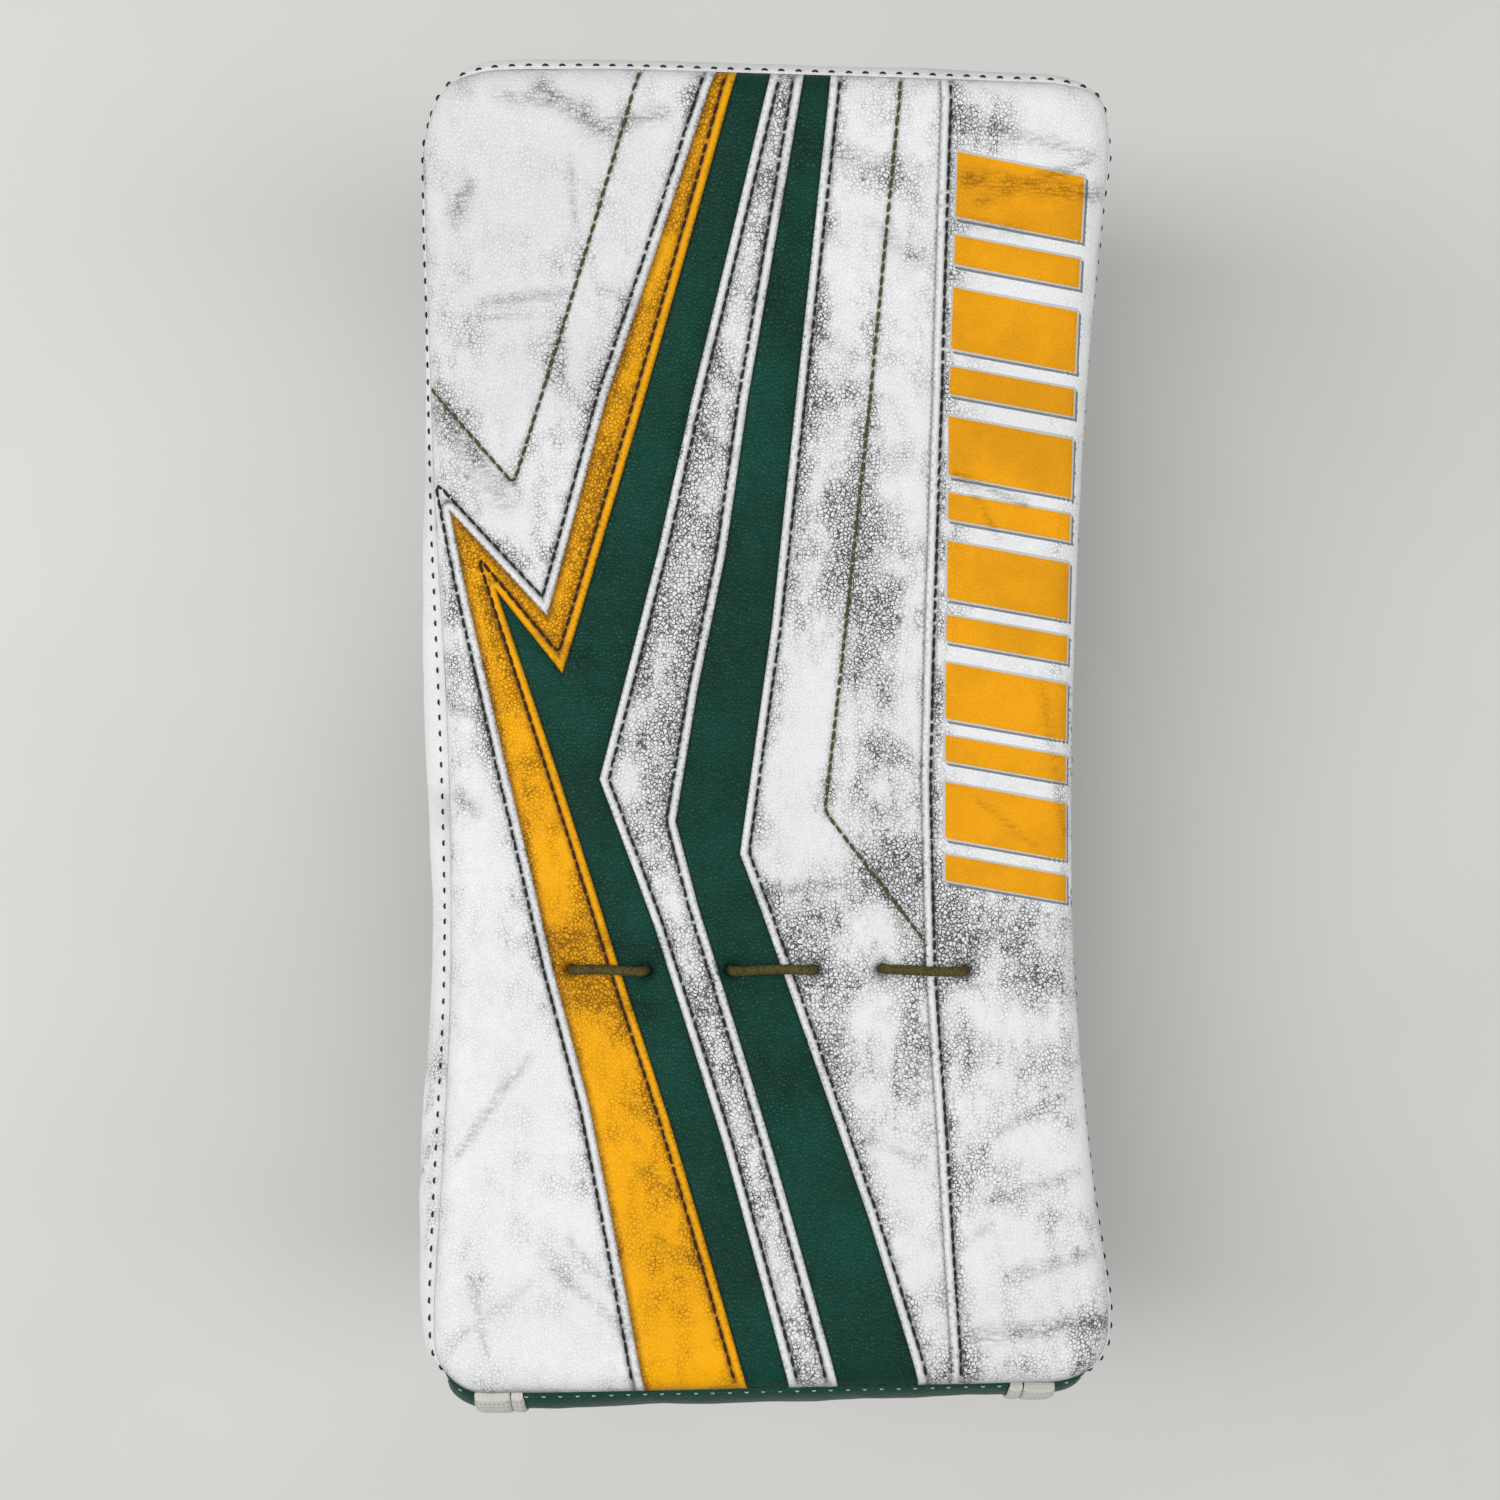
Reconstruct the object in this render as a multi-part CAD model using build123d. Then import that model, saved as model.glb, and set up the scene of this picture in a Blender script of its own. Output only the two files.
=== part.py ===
"""Goalie blocker: a curved, padded board with a right-hand glove laced to its back.

The frame is in millimetres. +Z is the way the board's front face looks, +Y runs towards the
fingertips and +X towards the little finger. The origin is on the surface that the cuff's rim
and the fingertips rest on, below the middle of the board.
"""
import math
import os

from build123d import *

# ---------------------------------------------------------------- driving dimensions
BOARD_LENGTH = 381.0        # along the face, end seam to end seam
BOARD_WIDTH = 203.5         # at the two ends
WAIST = 3.6                 # how far each long side draws in at its waist
BOARD_THICKNESS = 29.0
CORNER_RADIUS = 15.0
FACE_LOW_Y = -30.0          # where the hollow face is lowest
BOARD_BACK_Z = 100.0        # height of the board's back there
RADIUS_FINGER_END = 800.0   # face radius from the low line to the finger end
RADIUS_CUFF_END = 445.0     # face radius from the low line to the cuff end

SKIN = 1.2                  # synthetic leather thickness
SEAM_DEPTH = 8.0            # depth of the seam between the front cover and the side strips
EDGE_RADIUS = 7.0           # rounding of the padded front edge
FRONT_FOAM_DEPTH = 12.0
STIFFENER_THICKNESS = 1.5
GAP = 0.1                   # between layers that lie on each other
CLEAR = 0.3                 # between the board's back and what is under it

TAB_LOW_DEPTH = 24.0        # how deep the keeper tabs on the cuff end reach

MOTIF_COUNT = 6             # slanted blocks pressed on the side panel
MOTIF_TOP_Y, MOTIF_PITCH, MOTIF_HEIGHT = 170.0, 36.8, 31.4
MOTIF_X0, MOTIF_X1, MOTIF_SLANT = 54.5, 91.5, 7.0
MOTIF_THICKNESS = 0.5

ROLL_FRONT_Y, ROLL_REAR_Y = 118.0, -165.0   # ends of the roll on the thumb side
ROLL_REACH = 3.7            # how far it stands out of the board's side

LACE_Y = -72.5
LACE_RADIUS = 1.4
LACE_HOLE_RADIUS = 2.0
LACE_X = [-60.5, -37.5, -11.5, 14.5, 35.0, 61.0]
KNOT_RADIUS = 3.6

PALM_HALF_WIDTH = 54.0
PALM_REAR_Y = -45.0
KNUCKLE_Y = 34.0
KNUCKLE_Z = 71.0
HAND_TOP_Z = 86.0           # underside of the back-of-hand pad
PALM_Z = 54.0               # outer face of the palm leather
LEATHER = 2.0

DIGIT_PALMAR = 11.5         # from a finger's centre line to its leather's outer face
DIGIT_CAVITY = 9.5          # half height of the space for the finger
DIGIT_PAD = 9.0             # thickness of the pad on the back of the finger
DIGIT_WALL = 2.2
FINGER_PITCH = 26.0
FINGER_WIDTH = 24.6
FINGER_FLEX = (-12.0, 30.0)  # travel of each base segment, in degrees
FINGER_RATIO = 1.4          # tip segment's turn for each degree of its base segment
THUMB_FLEX = (-8.0, 22.0)
THUMB_RATIO = 1.2

# name, place across the palm, base length, tip length, slope of the base segment
FINGERS = [
    ("index", -1.5, 43.0, 50.0, 28.8),
    ("middle", -0.5, 45.0, 53.8, 22.0),
    ("ring", 0.5, 43.0, 50.0, 28.8),
    ("little", 1.5, 38.0, 43.0, 36.0),
]
THUMB_START = (-57.0, -16.0, 71.0)
THUMB_TURN = 50.0           # how far the thumb's plane is turned from straight across
THUMB_LENGTHS = (34.0, 33.0)
THUMB_SLOPES = (40.0, 76.0)
THUMB_WIDTH = 28.0
CAP_WALL = 2.35             # hard cap over the thumb's tip

CUFF_FRONT_Y = -48.0
CUFF_REAR_Y = -132.0
CUFF_FRONT_HALF, CUFF_REAR_HALF = 59.0, 69.0
CUFF_FRONT_LOW, CUFF_REAR_LOW = 20.0, 1.0
CUFF_FRONT_RADIUS, CUFF_REAR_RADIUS = 24.0, 28.0
CUFF_WALL = 11.0
CUFF_PAD_Z = 88.0           # underside of the pad that the wings hang from
CUFF_GAP_HALF = 12.0        # half the gap between the two wings, under the wrist
STRAP_REAR_Y, STRAP_FRONT_Y = -112.0, -74.0
STRAP_RECESS = 4.8
TAB_FOOT_Z = 40.0           # where the strap's loose end starts to peel
TAB_TOP_Z = 76.0

GUARD_FRONT_Y, GUARD_REAR_Y = 152.0, 54.0
GUARD_OUT_X, GUARD_IN_X = -101.5, -89.0
GUARD_LOW_Z = 26.0

FAR = 300.0                 # longer than any part, for cutting tools
FACE_LOW_Z = BOARD_BACK_Z + BOARD_THICKNESS
os.makedirs("parts", exist_ok=True)


def save(name, *solids):
    """Writes one node, made of one or more solids."""
    shape = solids[0] if len(solids) == 1 else Compound(children=list(solids))
    export_step(shape, f"parts/{name}.step")


def block(x0, x1, y0, y1, z0, z1):
    """A box given by its limits."""
    centre = ((x0 + x1) / 2, (y0 + y1) / 2, (z0 + z1) / 2)
    return Pos(*centre) * Box(x1 - x0, y1 - y0, z1 - z0)


def prism(points, low=0.0, high=FAR):
    """A vertical prism on a plan outline."""
    return extrude(Plane.XY.offset(low) * make_face(Polyline(*points, close=True)), high - low)


# ---------------------------------------------------------------- the board's curved layers
def face_angles():
    """Angles of the face's arc from the low line to the finger end and to the cuff end."""
    up = math.asin((BOARD_LENGTH / 2 - FACE_LOW_Y) / RADIUS_FINGER_END)
    down = math.asin((BOARD_LENGTH / 2 + FACE_LOW_Y) / RADIUS_CUFF_END)
    return up, down


def arc_point(side, share, depth, margin=0.0):
    """A point of the long section at a depth below the face; side is +1 for the finger end."""
    radius = RADIUS_FINGER_END if side > 0 else RADIUS_CUFF_END
    end = face_angles()[0 if side > 0 else 1] - margin / radius
    angle = end * share
    y = FACE_LOW_Y + side * (radius + depth) * math.sin(angle)
    return (0, y, FACE_LOW_Z + radius - (radius + depth) * math.cos(angle))


def section_arc(side, depth, margin):
    """Half of one layer boundary in the long section, from the low line outwards."""
    return ThreePointArc(*(arc_point(side, share, depth, margin) for share in (0, 0.5, 1)))


def slab(top, bottom, margin=0.0, round_front=0.0):
    """The board's material between two depths, inset all round by margin."""
    edges = [section_arc(side, depth, margin) for side in (1, -1) for depth in (top, bottom)]
    ends = [Line(arc_point(s, 1, top, margin), arc_point(s, 1, bottom, margin)) for s in (1, -1)]
    half = BOARD_WIDTH / 2 - margin
    bar = extrude(make_face([*edges, *ends]), half, dir=(1, 0, 0), both=True)
    waist = half - WAIST
    side_y = BOARD_LENGTH / 2 + 15
    bulge = WAIST * ((side_y - FACE_LOW_Y) / (BOARD_LENGTH / 2)) ** 2 - WAIST
    outline = [
        ThreePointArc((half + bulge, side_y), (waist, FACE_LOW_Y), (half + bulge, -side_y)),
        Line((half + bulge, -side_y), (-half - bulge, -side_y)),
        ThreePointArc((-half - bulge, -side_y), (-waist, FACE_LOW_Y), (-half - bulge, side_y)),
        Line((-half - bulge, side_y), (half + bulge, side_y)),
    ]
    body = bar & extrude(make_face(outline), FAR)
    body = body.solids()[0]
    corners = [
        e for e in body.edges().filter_by(GeomType.LINE)
        if abs(e.center().X) > waist - 5 and abs(e.center().Y) > BOARD_LENGTH / 2 - 25
        and abs(e.tangent_at(0.5).X) < 0.2
    ]
    if margin > -5:
        body = fillet(corners, CORNER_RADIUS - margin)
    if round_front:
        crown = body.faces().sort_by(SortBy.AREA)[-4:]
        crown = [f for f in crown if f.normal_at(f.center()).Z > 0.9]
        rim = [e for f in crown for e in f.edges()]
        shared = [e for e in rim if sum(e.is_same(other) for other in rim) > 1]
        body = fillet([e for e in rim if not any(e.is_same(s) for s in shared)], round_front)
    return body


def lace_holes():
    """The six holes that the lace runs through."""
    return [Pos(x, LACE_Y, 0) * Cylinder(LACE_HOLE_RADIUS, 2 * FAR) for x in LACE_X]


def punched(solid):
    """A layer with the lace's holes in it."""
    for hole in lace_holes():
        solid = solid - hole
    return solid


# ---------------------------------------------------------------- the front cover's panels
# Boundaries between the sewn panels, from the finger end to the cuff end.
YELLOW_LEFT_UPPER = [(-14, 215), (-66.4, 36.1), (-95.6, 67.7)]
YELLOW_LEFT_LOWER = [(-95.6, 67.7), (-80.0, -7.5), (-53.0, -113), (-30.0, -215)]
GREEN_LEFT_UPPER = [(-0.8, 215), (-62.0, 18.5), (-82.0, 43.9)]
GREEN_LEFT_LOWER = [(-82.0, 43.9), (-64.8, -8.1), (-44.6, -71.3), (2.0, -215)]
STRIPE_LEFT = [(7.5, 215), (-32.4, 55.1), (-50.6, -14.0), (-34.0, -58.5), (14.5, -215)]
STRIPE_RIGHT = [(15.5, 215), (-11.6, 55.1), (-27.2, -27.0), (-20.4, -52.6), (29.0, -215)]
GREEN_RIGHT = [(21.0, 215), (2.6, 33.8), (-7.4, -36.9), (0.0, -54.2), (54.0, -215)]
SIDE_SEAM = [(51.0, 215), (49.0, -14.3), (49.8, -71.3), (56.0, -215)]


def panel_outlines():
    """Plan outlines of the seven front panels, left to right."""
    far_left, far_right = [(-130, -215), (-130, 215)], [(130, -215), (130, 215)]
    yellow_left = YELLOW_LEFT_UPPER + YELLOW_LEFT_LOWER[1:]
    green_left = GREEN_LEFT_UPPER + GREEN_LEFT_LOWER[1:]
    bounds = [yellow_left, green_left, STRIPE_LEFT, STRIPE_RIGHT, GREEN_RIGHT, SIDE_SEAM]
    names = ["chevron_yellow", "band_green_left", "stripe_white", "band_green_right",
             "panel_white_middle"]
    outlines = {"panel_white_left": yellow_left + far_left}
    for name, left, right in zip(names, bounds, bounds[1:]):
        outlines[name] = left + right[::-1]
    outlines["panel_white_side"] = SIDE_SEAM + far_right
    return outlines


def make_cover():
    """The synthetic leather front, as the panels it is sewn from."""
    outer = slab(0, SEAM_DEPTH, 0, EDGE_RADIUS)
    inner = slab(SKIN, SEAM_DEPTH + 5, SKIN, EDGE_RADIUS - SKIN)
    cover = punched(outer - inner)
    for name, outline in panel_outlines().items():
        save(name, *(cover & prism(outline)).solids())


def make_motif():
    """Six slanted blocks pressed on the side panel."""
    skin = slab(-MOTIF_THICKNESS, -0.02, 2)
    blocks = []
    for row in range(MOTIF_COUNT):
        top = MOTIF_TOP_Y - row * MOTIF_PITCH
        low = top - MOTIF_HEIGHT
        outline = [(MOTIF_X0, top), (MOTIF_X1, top - MOTIF_SLANT),
                   (MOTIF_X1, low - MOTIF_SLANT), (MOTIF_X0, low)]
        blocks += (skin & prism(outline)).solids()
    save("side_blocks", *blocks)


# ---------------------------------------------------------------- the board
def make_board():
    """Foams, stiffener, side strips and back cover."""
    inset = SKIN + GAP
    stiff_top = FRONT_FOAM_DEPTH + GAP
    stiff_bottom = stiff_top + STIFFENER_THICKNESS
    back_top = BOARD_THICKNESS - SKIN
    save("foam_front", punched(slab(inset, FRONT_FOAM_DEPTH, inset + 0.2, EDGE_RADIUS - SKIN)))
    save("stiffener_sheet", punched(slab(stiff_top, stiff_bottom, 6)))
    save("foam_back", punched(slab(stiff_bottom + GAP, back_top - GAP, inset + 0.2)))
    save("back_cover", punched(slab(back_top, BOARD_THICKNESS, SKIN + GAP)))

    ring = slab(SEAM_DEPTH + GAP, BOARD_THICKNESS, 0) - slab(SEAM_DEPTH - 1, BOARD_THICKNESS + 2, SKIN)
    split = BOARD_LENGTH / 2 - CORNER_RADIUS - 2
    save("side_strip_top", *(ring & block(-FAR, FAR, split, FAR, 0, FAR)).solids())
    save("side_strip_bottom", *(ring & block(-FAR, FAR, -FAR, -split, 0, FAR)).solids())
    save("side_strip_left", *(ring & block(-FAR, 0, -split + GAP, split - GAP, 0, FAR)).solids())
    save("side_strip_right", *(ring & block(0, FAR, -split + GAP, split - GAP, 0, FAR)).solids())

    base = BOARD_WIDTH / 2 - WAIST - 1
    lens = make_face([
        ThreePointArc((-base, ROLL_FRONT_Y),
                      (-BOARD_WIDTH / 2 - ROLL_REACH, (ROLL_FRONT_Y + ROLL_REAR_Y) / 2),
                      (-base, ROLL_REAR_Y)),
        Line((-base, ROLL_REAR_Y), (-base, ROLL_FRONT_Y)),
    ])
    roll = slab(SEAM_DEPTH + 2, BOARD_THICKNESS, -12) & extrude(lens, FAR)
    roll = roll - slab(SEAM_DEPTH, BOARD_THICKNESS + 2, -GAP)
    save("thumb_side_roll", max(roll.solids(), key=lambda s: s.volume))

    wrap = slab(SEAM_DEPTH + CLEAR, TAB_LOW_DEPTH, -1.4)
    wrap = wrap - slab(SEAM_DEPTH - 2, TAB_LOW_DEPTH + 2, -0.05)
    reach = -BOARD_LENGTH / 2 + 26
    tabs = [wrap & block(x, x + 12.5, -FAR, reach, 0, FAR) for x in (-85.0, 72.5)]
    save("edge_tabs", *[s for tab in tabs for s in tab.solids()])


def make_lace():
    """The lace in a running stitch through the board and the cuff's pad, and its two knots."""
    depth = (LACE_Y - FACE_LOW_Y) ** 2
    front = FACE_LOW_Z + depth / (2 * RADIUS_CUFF_END) + LACE_RADIUS + 0.35
    back = CUFF_PAD_Z - LACE_RADIUS - 0.3
    points = [(LACE_X[0], LACE_Y, back)]
    for i, x in enumerate(LACE_X):
        down = i % 2 == 1
        points += [(x, LACE_Y, front), (x, LACE_Y, back)] if down else \
            ([(x, LACE_Y, back)] if i else []) + [(x, LACE_Y, front)]
    path = FilletPolyline(*points, radius=2.6)
    save("board_lace", sweep(Plane(path @ 0, z_dir=path % 0) * Circle(LACE_RADIUS), path=path))
    knots = [Pos(x, LACE_Y, back - KNOT_RADIUS - 0.05) * Sphere(KNOT_RADIUS)
             for x in (LACE_X[0], LACE_X[-1])]
    save("lace_knots", *knots)


# ---------------------------------------------------------------- the hand part
def board_cut(depth):
    """Everything at and above a depth in the board, as a tool to shape what lies under it."""
    return slab(-60, depth, -40)


def make_hand():
    """Back-of-hand pad, its hook-and-loop pair, palm leather and side walls."""
    patch = prism([(-42, -22), (42, -22), (42, 30), (-42, 30)])
    save("board_loop_patch", slab(BOARD_THICKNESS + 0.05, BOARD_THICKNESS + 1.1, 5) & patch)
    save("backhand_hook_patch", slab(BOARD_THICKNESS + 1.2, BOARD_THICKNESS + 2.2, 5) & patch)
    pad = block(-PALM_HALF_WIDTH, PALM_HALF_WIDTH, PALM_REAR_Y, KNUCKLE_Y, HAND_TOP_Z, 120)
    pad = fillet(pad.edges().filter_by(Axis.Z), 8)
    save("backhand_pad", pad - board_cut(BOARD_THICKNESS + 2.3))

    palm_front = KNUCKLE_Y - 9
    thumb_notch = [(-PALM_HALF_WIDTH, 9), (-40, 2), (-37, -14), (-40, -32), (-PALM_HALF_WIDTH, -40)]
    outline = [(PALM_HALF_WIDTH, PALM_REAR_Y), (PALM_HALF_WIDTH, palm_front),
               (-PALM_HALF_WIDTH, palm_front), *thumb_notch, (-PALM_HALF_WIDTH, PALM_REAR_Y)]
    save("palm_leather", prism(outline, PALM_Z, PALM_Z + LEATHER))
    low, high = PALM_Z + LEATHER + 0.05, HAND_TOP_Z - 0.05
    outer_side = block(PALM_HALF_WIDTH - LEATHER, PALM_HALF_WIDTH, PALM_REAR_Y, palm_front, low, high)
    inner_side = block(-PALM_HALF_WIDTH, LEATHER - PALM_HALF_WIDTH, 10, palm_front, low, high)
    save("palm_side_walls", outer_side, inner_side)


def cuff_loft(grow, y_front=CUFF_FRONT_Y, y_rear=CUFF_REAR_Y):
    """The cuff's tapered tube, grown outwards by a distance; its top is far above the board."""
    sections = []
    for y in (y_front, y_rear):
        share = (CUFF_FRONT_Y - y) / (CUFF_FRONT_Y - CUFF_REAR_Y)
        half = CUFF_FRONT_HALF + share * (CUFF_REAR_HALF - CUFF_FRONT_HALF) + grow
        low = CUFF_FRONT_LOW + share * (CUFF_REAR_LOW - CUFF_FRONT_LOW) - grow
        radius = CUFF_FRONT_RADIUS + share * (CUFF_REAR_RADIUS - CUFF_FRONT_RADIUS) + grow
        height = 160.0 - low
        plane = Plane((0, y, low + height / 2), x_dir=(1, 0, 0), z_dir=(0, -1, 0))
        sections.append(plane * RectangleRounded(2 * half, height, radius))
    return loft(sections)


def make_cuff():
    """Pad, two wings and rim binding of the wrist cuff."""
    shell = cuff_loft(0) - cuff_loft(-CUFF_WALL, CUFF_FRONT_Y + 5, CUFF_REAR_Y - 5)
    pad_zone = block(-FAR, FAR, CUFF_REAR_Y, CUFF_FRONT_Y, CUFF_PAD_Z, FAR)
    pad = (cuff_loft(0) & pad_zone) - board_cut(BOARD_THICKNESS + CLEAR)
    save("cuff_pad", punched(pad))

    below = block(-FAR, FAR, -FAR, FAR, -50, CUFF_PAD_Z - 0.05)
    recess = cuff_loft(5) - cuff_loft(-STRAP_RECESS, CUFF_FRONT_Y + 5, CUFF_REAR_Y - 5)
    recess = recess & block(-FAR, FAR, STRAP_REAR_Y - 1.5, STRAP_FRONT_Y + 1.5, -50, TAB_TOP_Z + 2)
    wings = (shell & below) - recess
    for side in (-1, 1):
        inner_x, outer_x = sorted((side * (abs(LACE_X[0]) - 6), side * FAR))
        wings = wings - block(inner_x, outer_x, LACE_Y - 5, LACE_Y + 5, 77, FAR)
    left = wings & block(-FAR, -CUFF_GAP_HALF, -FAR, FAR, -50, FAR)
    save("cuff_wing_left", left)
    save("cuff_wing_right", wings & block(CUFF_GAP_HALF, FAR, -FAR, FAR, -50, FAR))

    rim = 7.0
    lip = cuff_loft(0.8, CUFF_REAR_Y + rim, CUFF_REAR_Y - 0.8)
    lip = lip - cuff_loft(-CUFF_WALL - 0.8, CUFF_REAR_Y + rim + 5, CUFF_REAR_Y - 5)
    core = cuff_loft(0.02) - cuff_loft(-CUFF_WALL - 0.02, CUFF_FRONT_Y + 5, CUFF_REAR_Y - 5)
    lip = (lip - core) & below
    for name, x0, x1 in (("left", -FAR, -CUFF_GAP_HALF), ("right", CUFF_GAP_HALF, FAR)):
        half = lip & block(x0, x1, -FAR, FAR, -50, FAR)
        save(f"cuff_binding_{name}", *half.solids())


def strap_skin(out, inner):
    """A skin between two distances inside the cuff's outer surface, over the strap's width."""
    skin = cuff_loft(-out) - cuff_loft(-inner, CUFF_FRONT_Y + 5, CUFF_REAR_Y - 5)
    return skin & block(-FAR, FAR, STRAP_REAR_Y, STRAP_FRONT_Y, -50, FAR)


def tab_hinge():
    """Two points of the line at which the strap's loose end peels off the left wing."""
    points = []
    for y in (STRAP_FRONT_Y, STRAP_REAR_Y):
        share = (CUFF_FRONT_Y - y) / (CUFF_FRONT_Y - CUFF_REAR_Y)
        half = CUFF_FRONT_HALF + share * (CUFF_REAR_HALF - CUFF_FRONT_HALF)
        points.append((0.7 - half, y, TAB_FOOT_Z))
    return points


def make_strap():
    """Wrist strap: the sewn run under the wrist, and the end that hooks on the left wing."""
    run = strap_skin(0.7, 3.4) & block(-FAR, FAR, -FAR, FAR, -50, 62)
    run = run - block(-FAR, 0, -FAR, FAR, TAB_FOOT_Z - 0.4, FAR)
    save("wrist_strap", max(run.solids(), key=lambda s: s.volume))
    side = block(-FAR, 0, -FAR, FAR, TAB_FOOT_Z + 0.4, TAB_TOP_Z - 9)
    save("strap_tab", (strap_skin(0.7, 2.3) & side))
    pull = block(-FAR, 0, -FAR, FAR, TAB_TOP_Z - 8.9, TAB_TOP_Z)
    save("strap_pull", (strap_skin(0.2, 2.9) & pull))
    hook = block(-FAR, 0, STRAP_REAR_Y + 2, STRAP_FRONT_Y - 2, TAB_FOOT_Z + 4, TAB_TOP_Z - 10)
    save("hook_patch", (strap_skin(2.35, 3.3) & hook))
    loop = block(-FAR, 0, STRAP_REAR_Y + 1, STRAP_FRONT_Y - 1, TAB_FOOT_Z, TAB_TOP_Z)
    save("loop_patch", (strap_skin(3.6, 4.7) & loop))


def make_guard():
    """The padded guard beside the index finger, under the board's thumb side."""
    top = 140.0
    outline = Plane.YZ * make_face(Polyline(
        (GUARD_REAR_Y, top), (GUARD_FRONT_Y, top), (GUARD_FRONT_Y, GUARD_LOW_Z + 22),
        (GUARD_FRONT_Y - 30, GUARD_LOW_Z), (GUARD_REAR_Y + 8, GUARD_LOW_Z),
        (GUARD_REAR_Y, GUARD_LOW_Z + 14), close=True))
    guard = extrude(outline, GUARD_IN_X - GUARD_OUT_X)
    guard = Pos(GUARD_OUT_X, 0, 0) * guard
    guard = fillet(guard.edges().filter_by(lambda e: e.center().Z < GUARD_LOW_Z + 60
                                           and abs(e.tangent_at(0.5).X) < 0.1), 4)
    save("index_guard", guard - board_cut(BOARD_THICKNESS + CLEAR))


# ---------------------------------------------------------------- fingers and thumb
def segment_outline(low, high, start, end, start_halves, end_halves):
    """A segment's side outline. Halves are the slopes of an end's palmar and dorsal parts."""
    def edge(u, halves, sign):
        palmar, dorsal = (math.tan(math.radians(h)) for h in halves)
        points = []
        for v in sorted({low, min(max(0.0, low), high), high}):
            shift = -v * palmar if v < 0 else -v * dorsal
            points.append((u + sign * (shift + 0.3), v))
        return points
    first = edge(start, start_halves, 1) if start_halves else [(start, low), (start, high)]
    last = edge(end, end_halves, -1) if end_halves else [(end, low), (end, high)]
    return first + last[::-1]


def digit_frame(origin, turn, slope):
    """Local axes of a segment: X along it, Y towards its back, Z across it."""
    t, s = math.radians(turn), math.radians(slope)
    out = Vector(-math.sin(t), math.cos(t), 0)
    along = out * math.cos(s) - Vector(0, 0, 1) * math.sin(s)
    dorsal = out * math.sin(s) + Vector(0, 0, 1) * math.cos(s)
    return Plane(origin, x_dir=along, z_dir=along.cross(dorsal))


def segment(frame, length, width, start_halves, end_halves):
    """Sleeve and pad of one segment; a segment with no end_halves is closed."""
    half = width / 2
    outer = segment_outline(-DIGIT_PALMAR, DIGIT_CAVITY - 0.05, 0, length, start_halves, end_halves)
    solid = extrude(make_face(Polyline(*outer, close=True)), half, both=True)
    if not end_halves:
        solid = fillet(solid.edges().filter_by(
            lambda e: e.center().X > length - 1 and (e.center().Y < 0 or abs(e.center().Z) > 1)
            and e.center().Y < DIGIT_CAVITY - 1), 5)
    stop = length - LEATHER - 0.5 if not end_halves else length + FAR
    cavity = block(-FAR, stop, DIGIT_WALL - DIGIT_PALMAR, FAR, DIGIT_WALL - half, half - DIGIT_WALL)
    sleeve = solid - cavity
    pad_low, pad_high = DIGIT_CAVITY + 0.05, DIGIT_CAVITY + DIGIT_PAD
    pad = segment_outline(pad_low, pad_high, 0, length, start_halves, end_halves)
    pad = extrude(make_face(Polyline(*pad, close=True)), half, both=True)
    pad = fillet([e for e in pad.edges() if e.center().Y > pad_high - 0.01
                  and abs(e.center().Z) > half - 0.01], 4)
    return frame * sleeve, frame * pad


def make_digit(name, origin, turn, lengths, slopes, width, flex, ratio, knuckle):
    """Base and tip segments of one finger or of the thumb."""
    bend = slopes[1] - slopes[0]
    palmar = (bend + ratio * flex[1]) / 2 + 1
    dorsal = (bend + ratio * flex[0]) / 2 - 1
    base_frame = digit_frame(origin, turn, slopes[0])
    base = segment(base_frame, lengths[0], width, knuckle, (palmar, dorsal))
    tip_origin = base_frame.from_local_coords((lengths[0], 0, 0))
    tip_frame = digit_frame(tip_origin, turn, slopes[1])
    tip = segment(tip_frame, lengths[1], width, (palmar, dorsal), None)
    for part, (sleeve, pad) in (("base", base), ("tip", tip)):
        save(f"{name}_{part}_sleeve", sleeve)
        save(f"{name}_{part}_pad", pad)
    axis = base_frame.z_dir
    print(f"{name}: base pivot {tuple(round(v, 2) for v in base_frame.origin)}, "
          f"tip pivot {tuple(round(v, 2) for v in tip_frame.origin)}, "
          f"axis {tuple(round(v, 4) for v in axis)}")
    return tip_frame


def make_fingers():
    """Four fingers side by side."""
    for name, place, base_length, tip_length, slope in FINGERS:
        knuckle = ((slope + FINGER_FLEX[1]) / 2 + 1, (slope + FINGER_FLEX[0]) / 2 - 1)
        make_digit(name, (place * FINGER_PITCH, KNUCKLE_Y, KNUCKLE_Z), 0,
                   (base_length, tip_length), (slope, 90.0), FINGER_WIDTH,
                   FINGER_FLEX, FINGER_RATIO, knuckle)


def make_thumb():
    """The thumb, and the hard cap over the end of it."""
    turn = 90 - THUMB_TURN
    tip_frame = make_digit("thumb", THUMB_START, turn, THUMB_LENGTHS, THUMB_SLOPES, THUMB_WIDTH,
                           THUMB_FLEX, THUMB_RATIO, (0, 0))
    back = DIGIT_CAVITY + DIGIT_PAD
    length = THUMB_LENGTHS[1]
    grow = CAP_WALL + GAP + 0.05
    side = THUMB_WIDTH / 2 + 2
    outer = block(2, length + grow, back - 5, back + grow, -side, side)
    outer = fillet(outer.edges().filter_by(lambda e: e.center().Y > back + 2), 2.4)
    inner = block(0, length + 0.15, back - 8, back + 0.15, -THUMB_WIDTH / 2 - 0.15,
                  THUMB_WIDTH / 2 + 0.15)
    save("thumb_cap", tip_frame * (outer - inner))


make_cover()
make_motif()
make_board()
make_lace()
make_hand()
make_cuff()
make_strap()
make_guard()
make_fingers()
make_thumb()
print("tab hinge", tab_hinge())
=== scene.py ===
import math
import random

import bmesh
import bpy
import numpy as np
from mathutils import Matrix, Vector, geometry, noise
from mathutils.bvhtree import BVHTree


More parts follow.
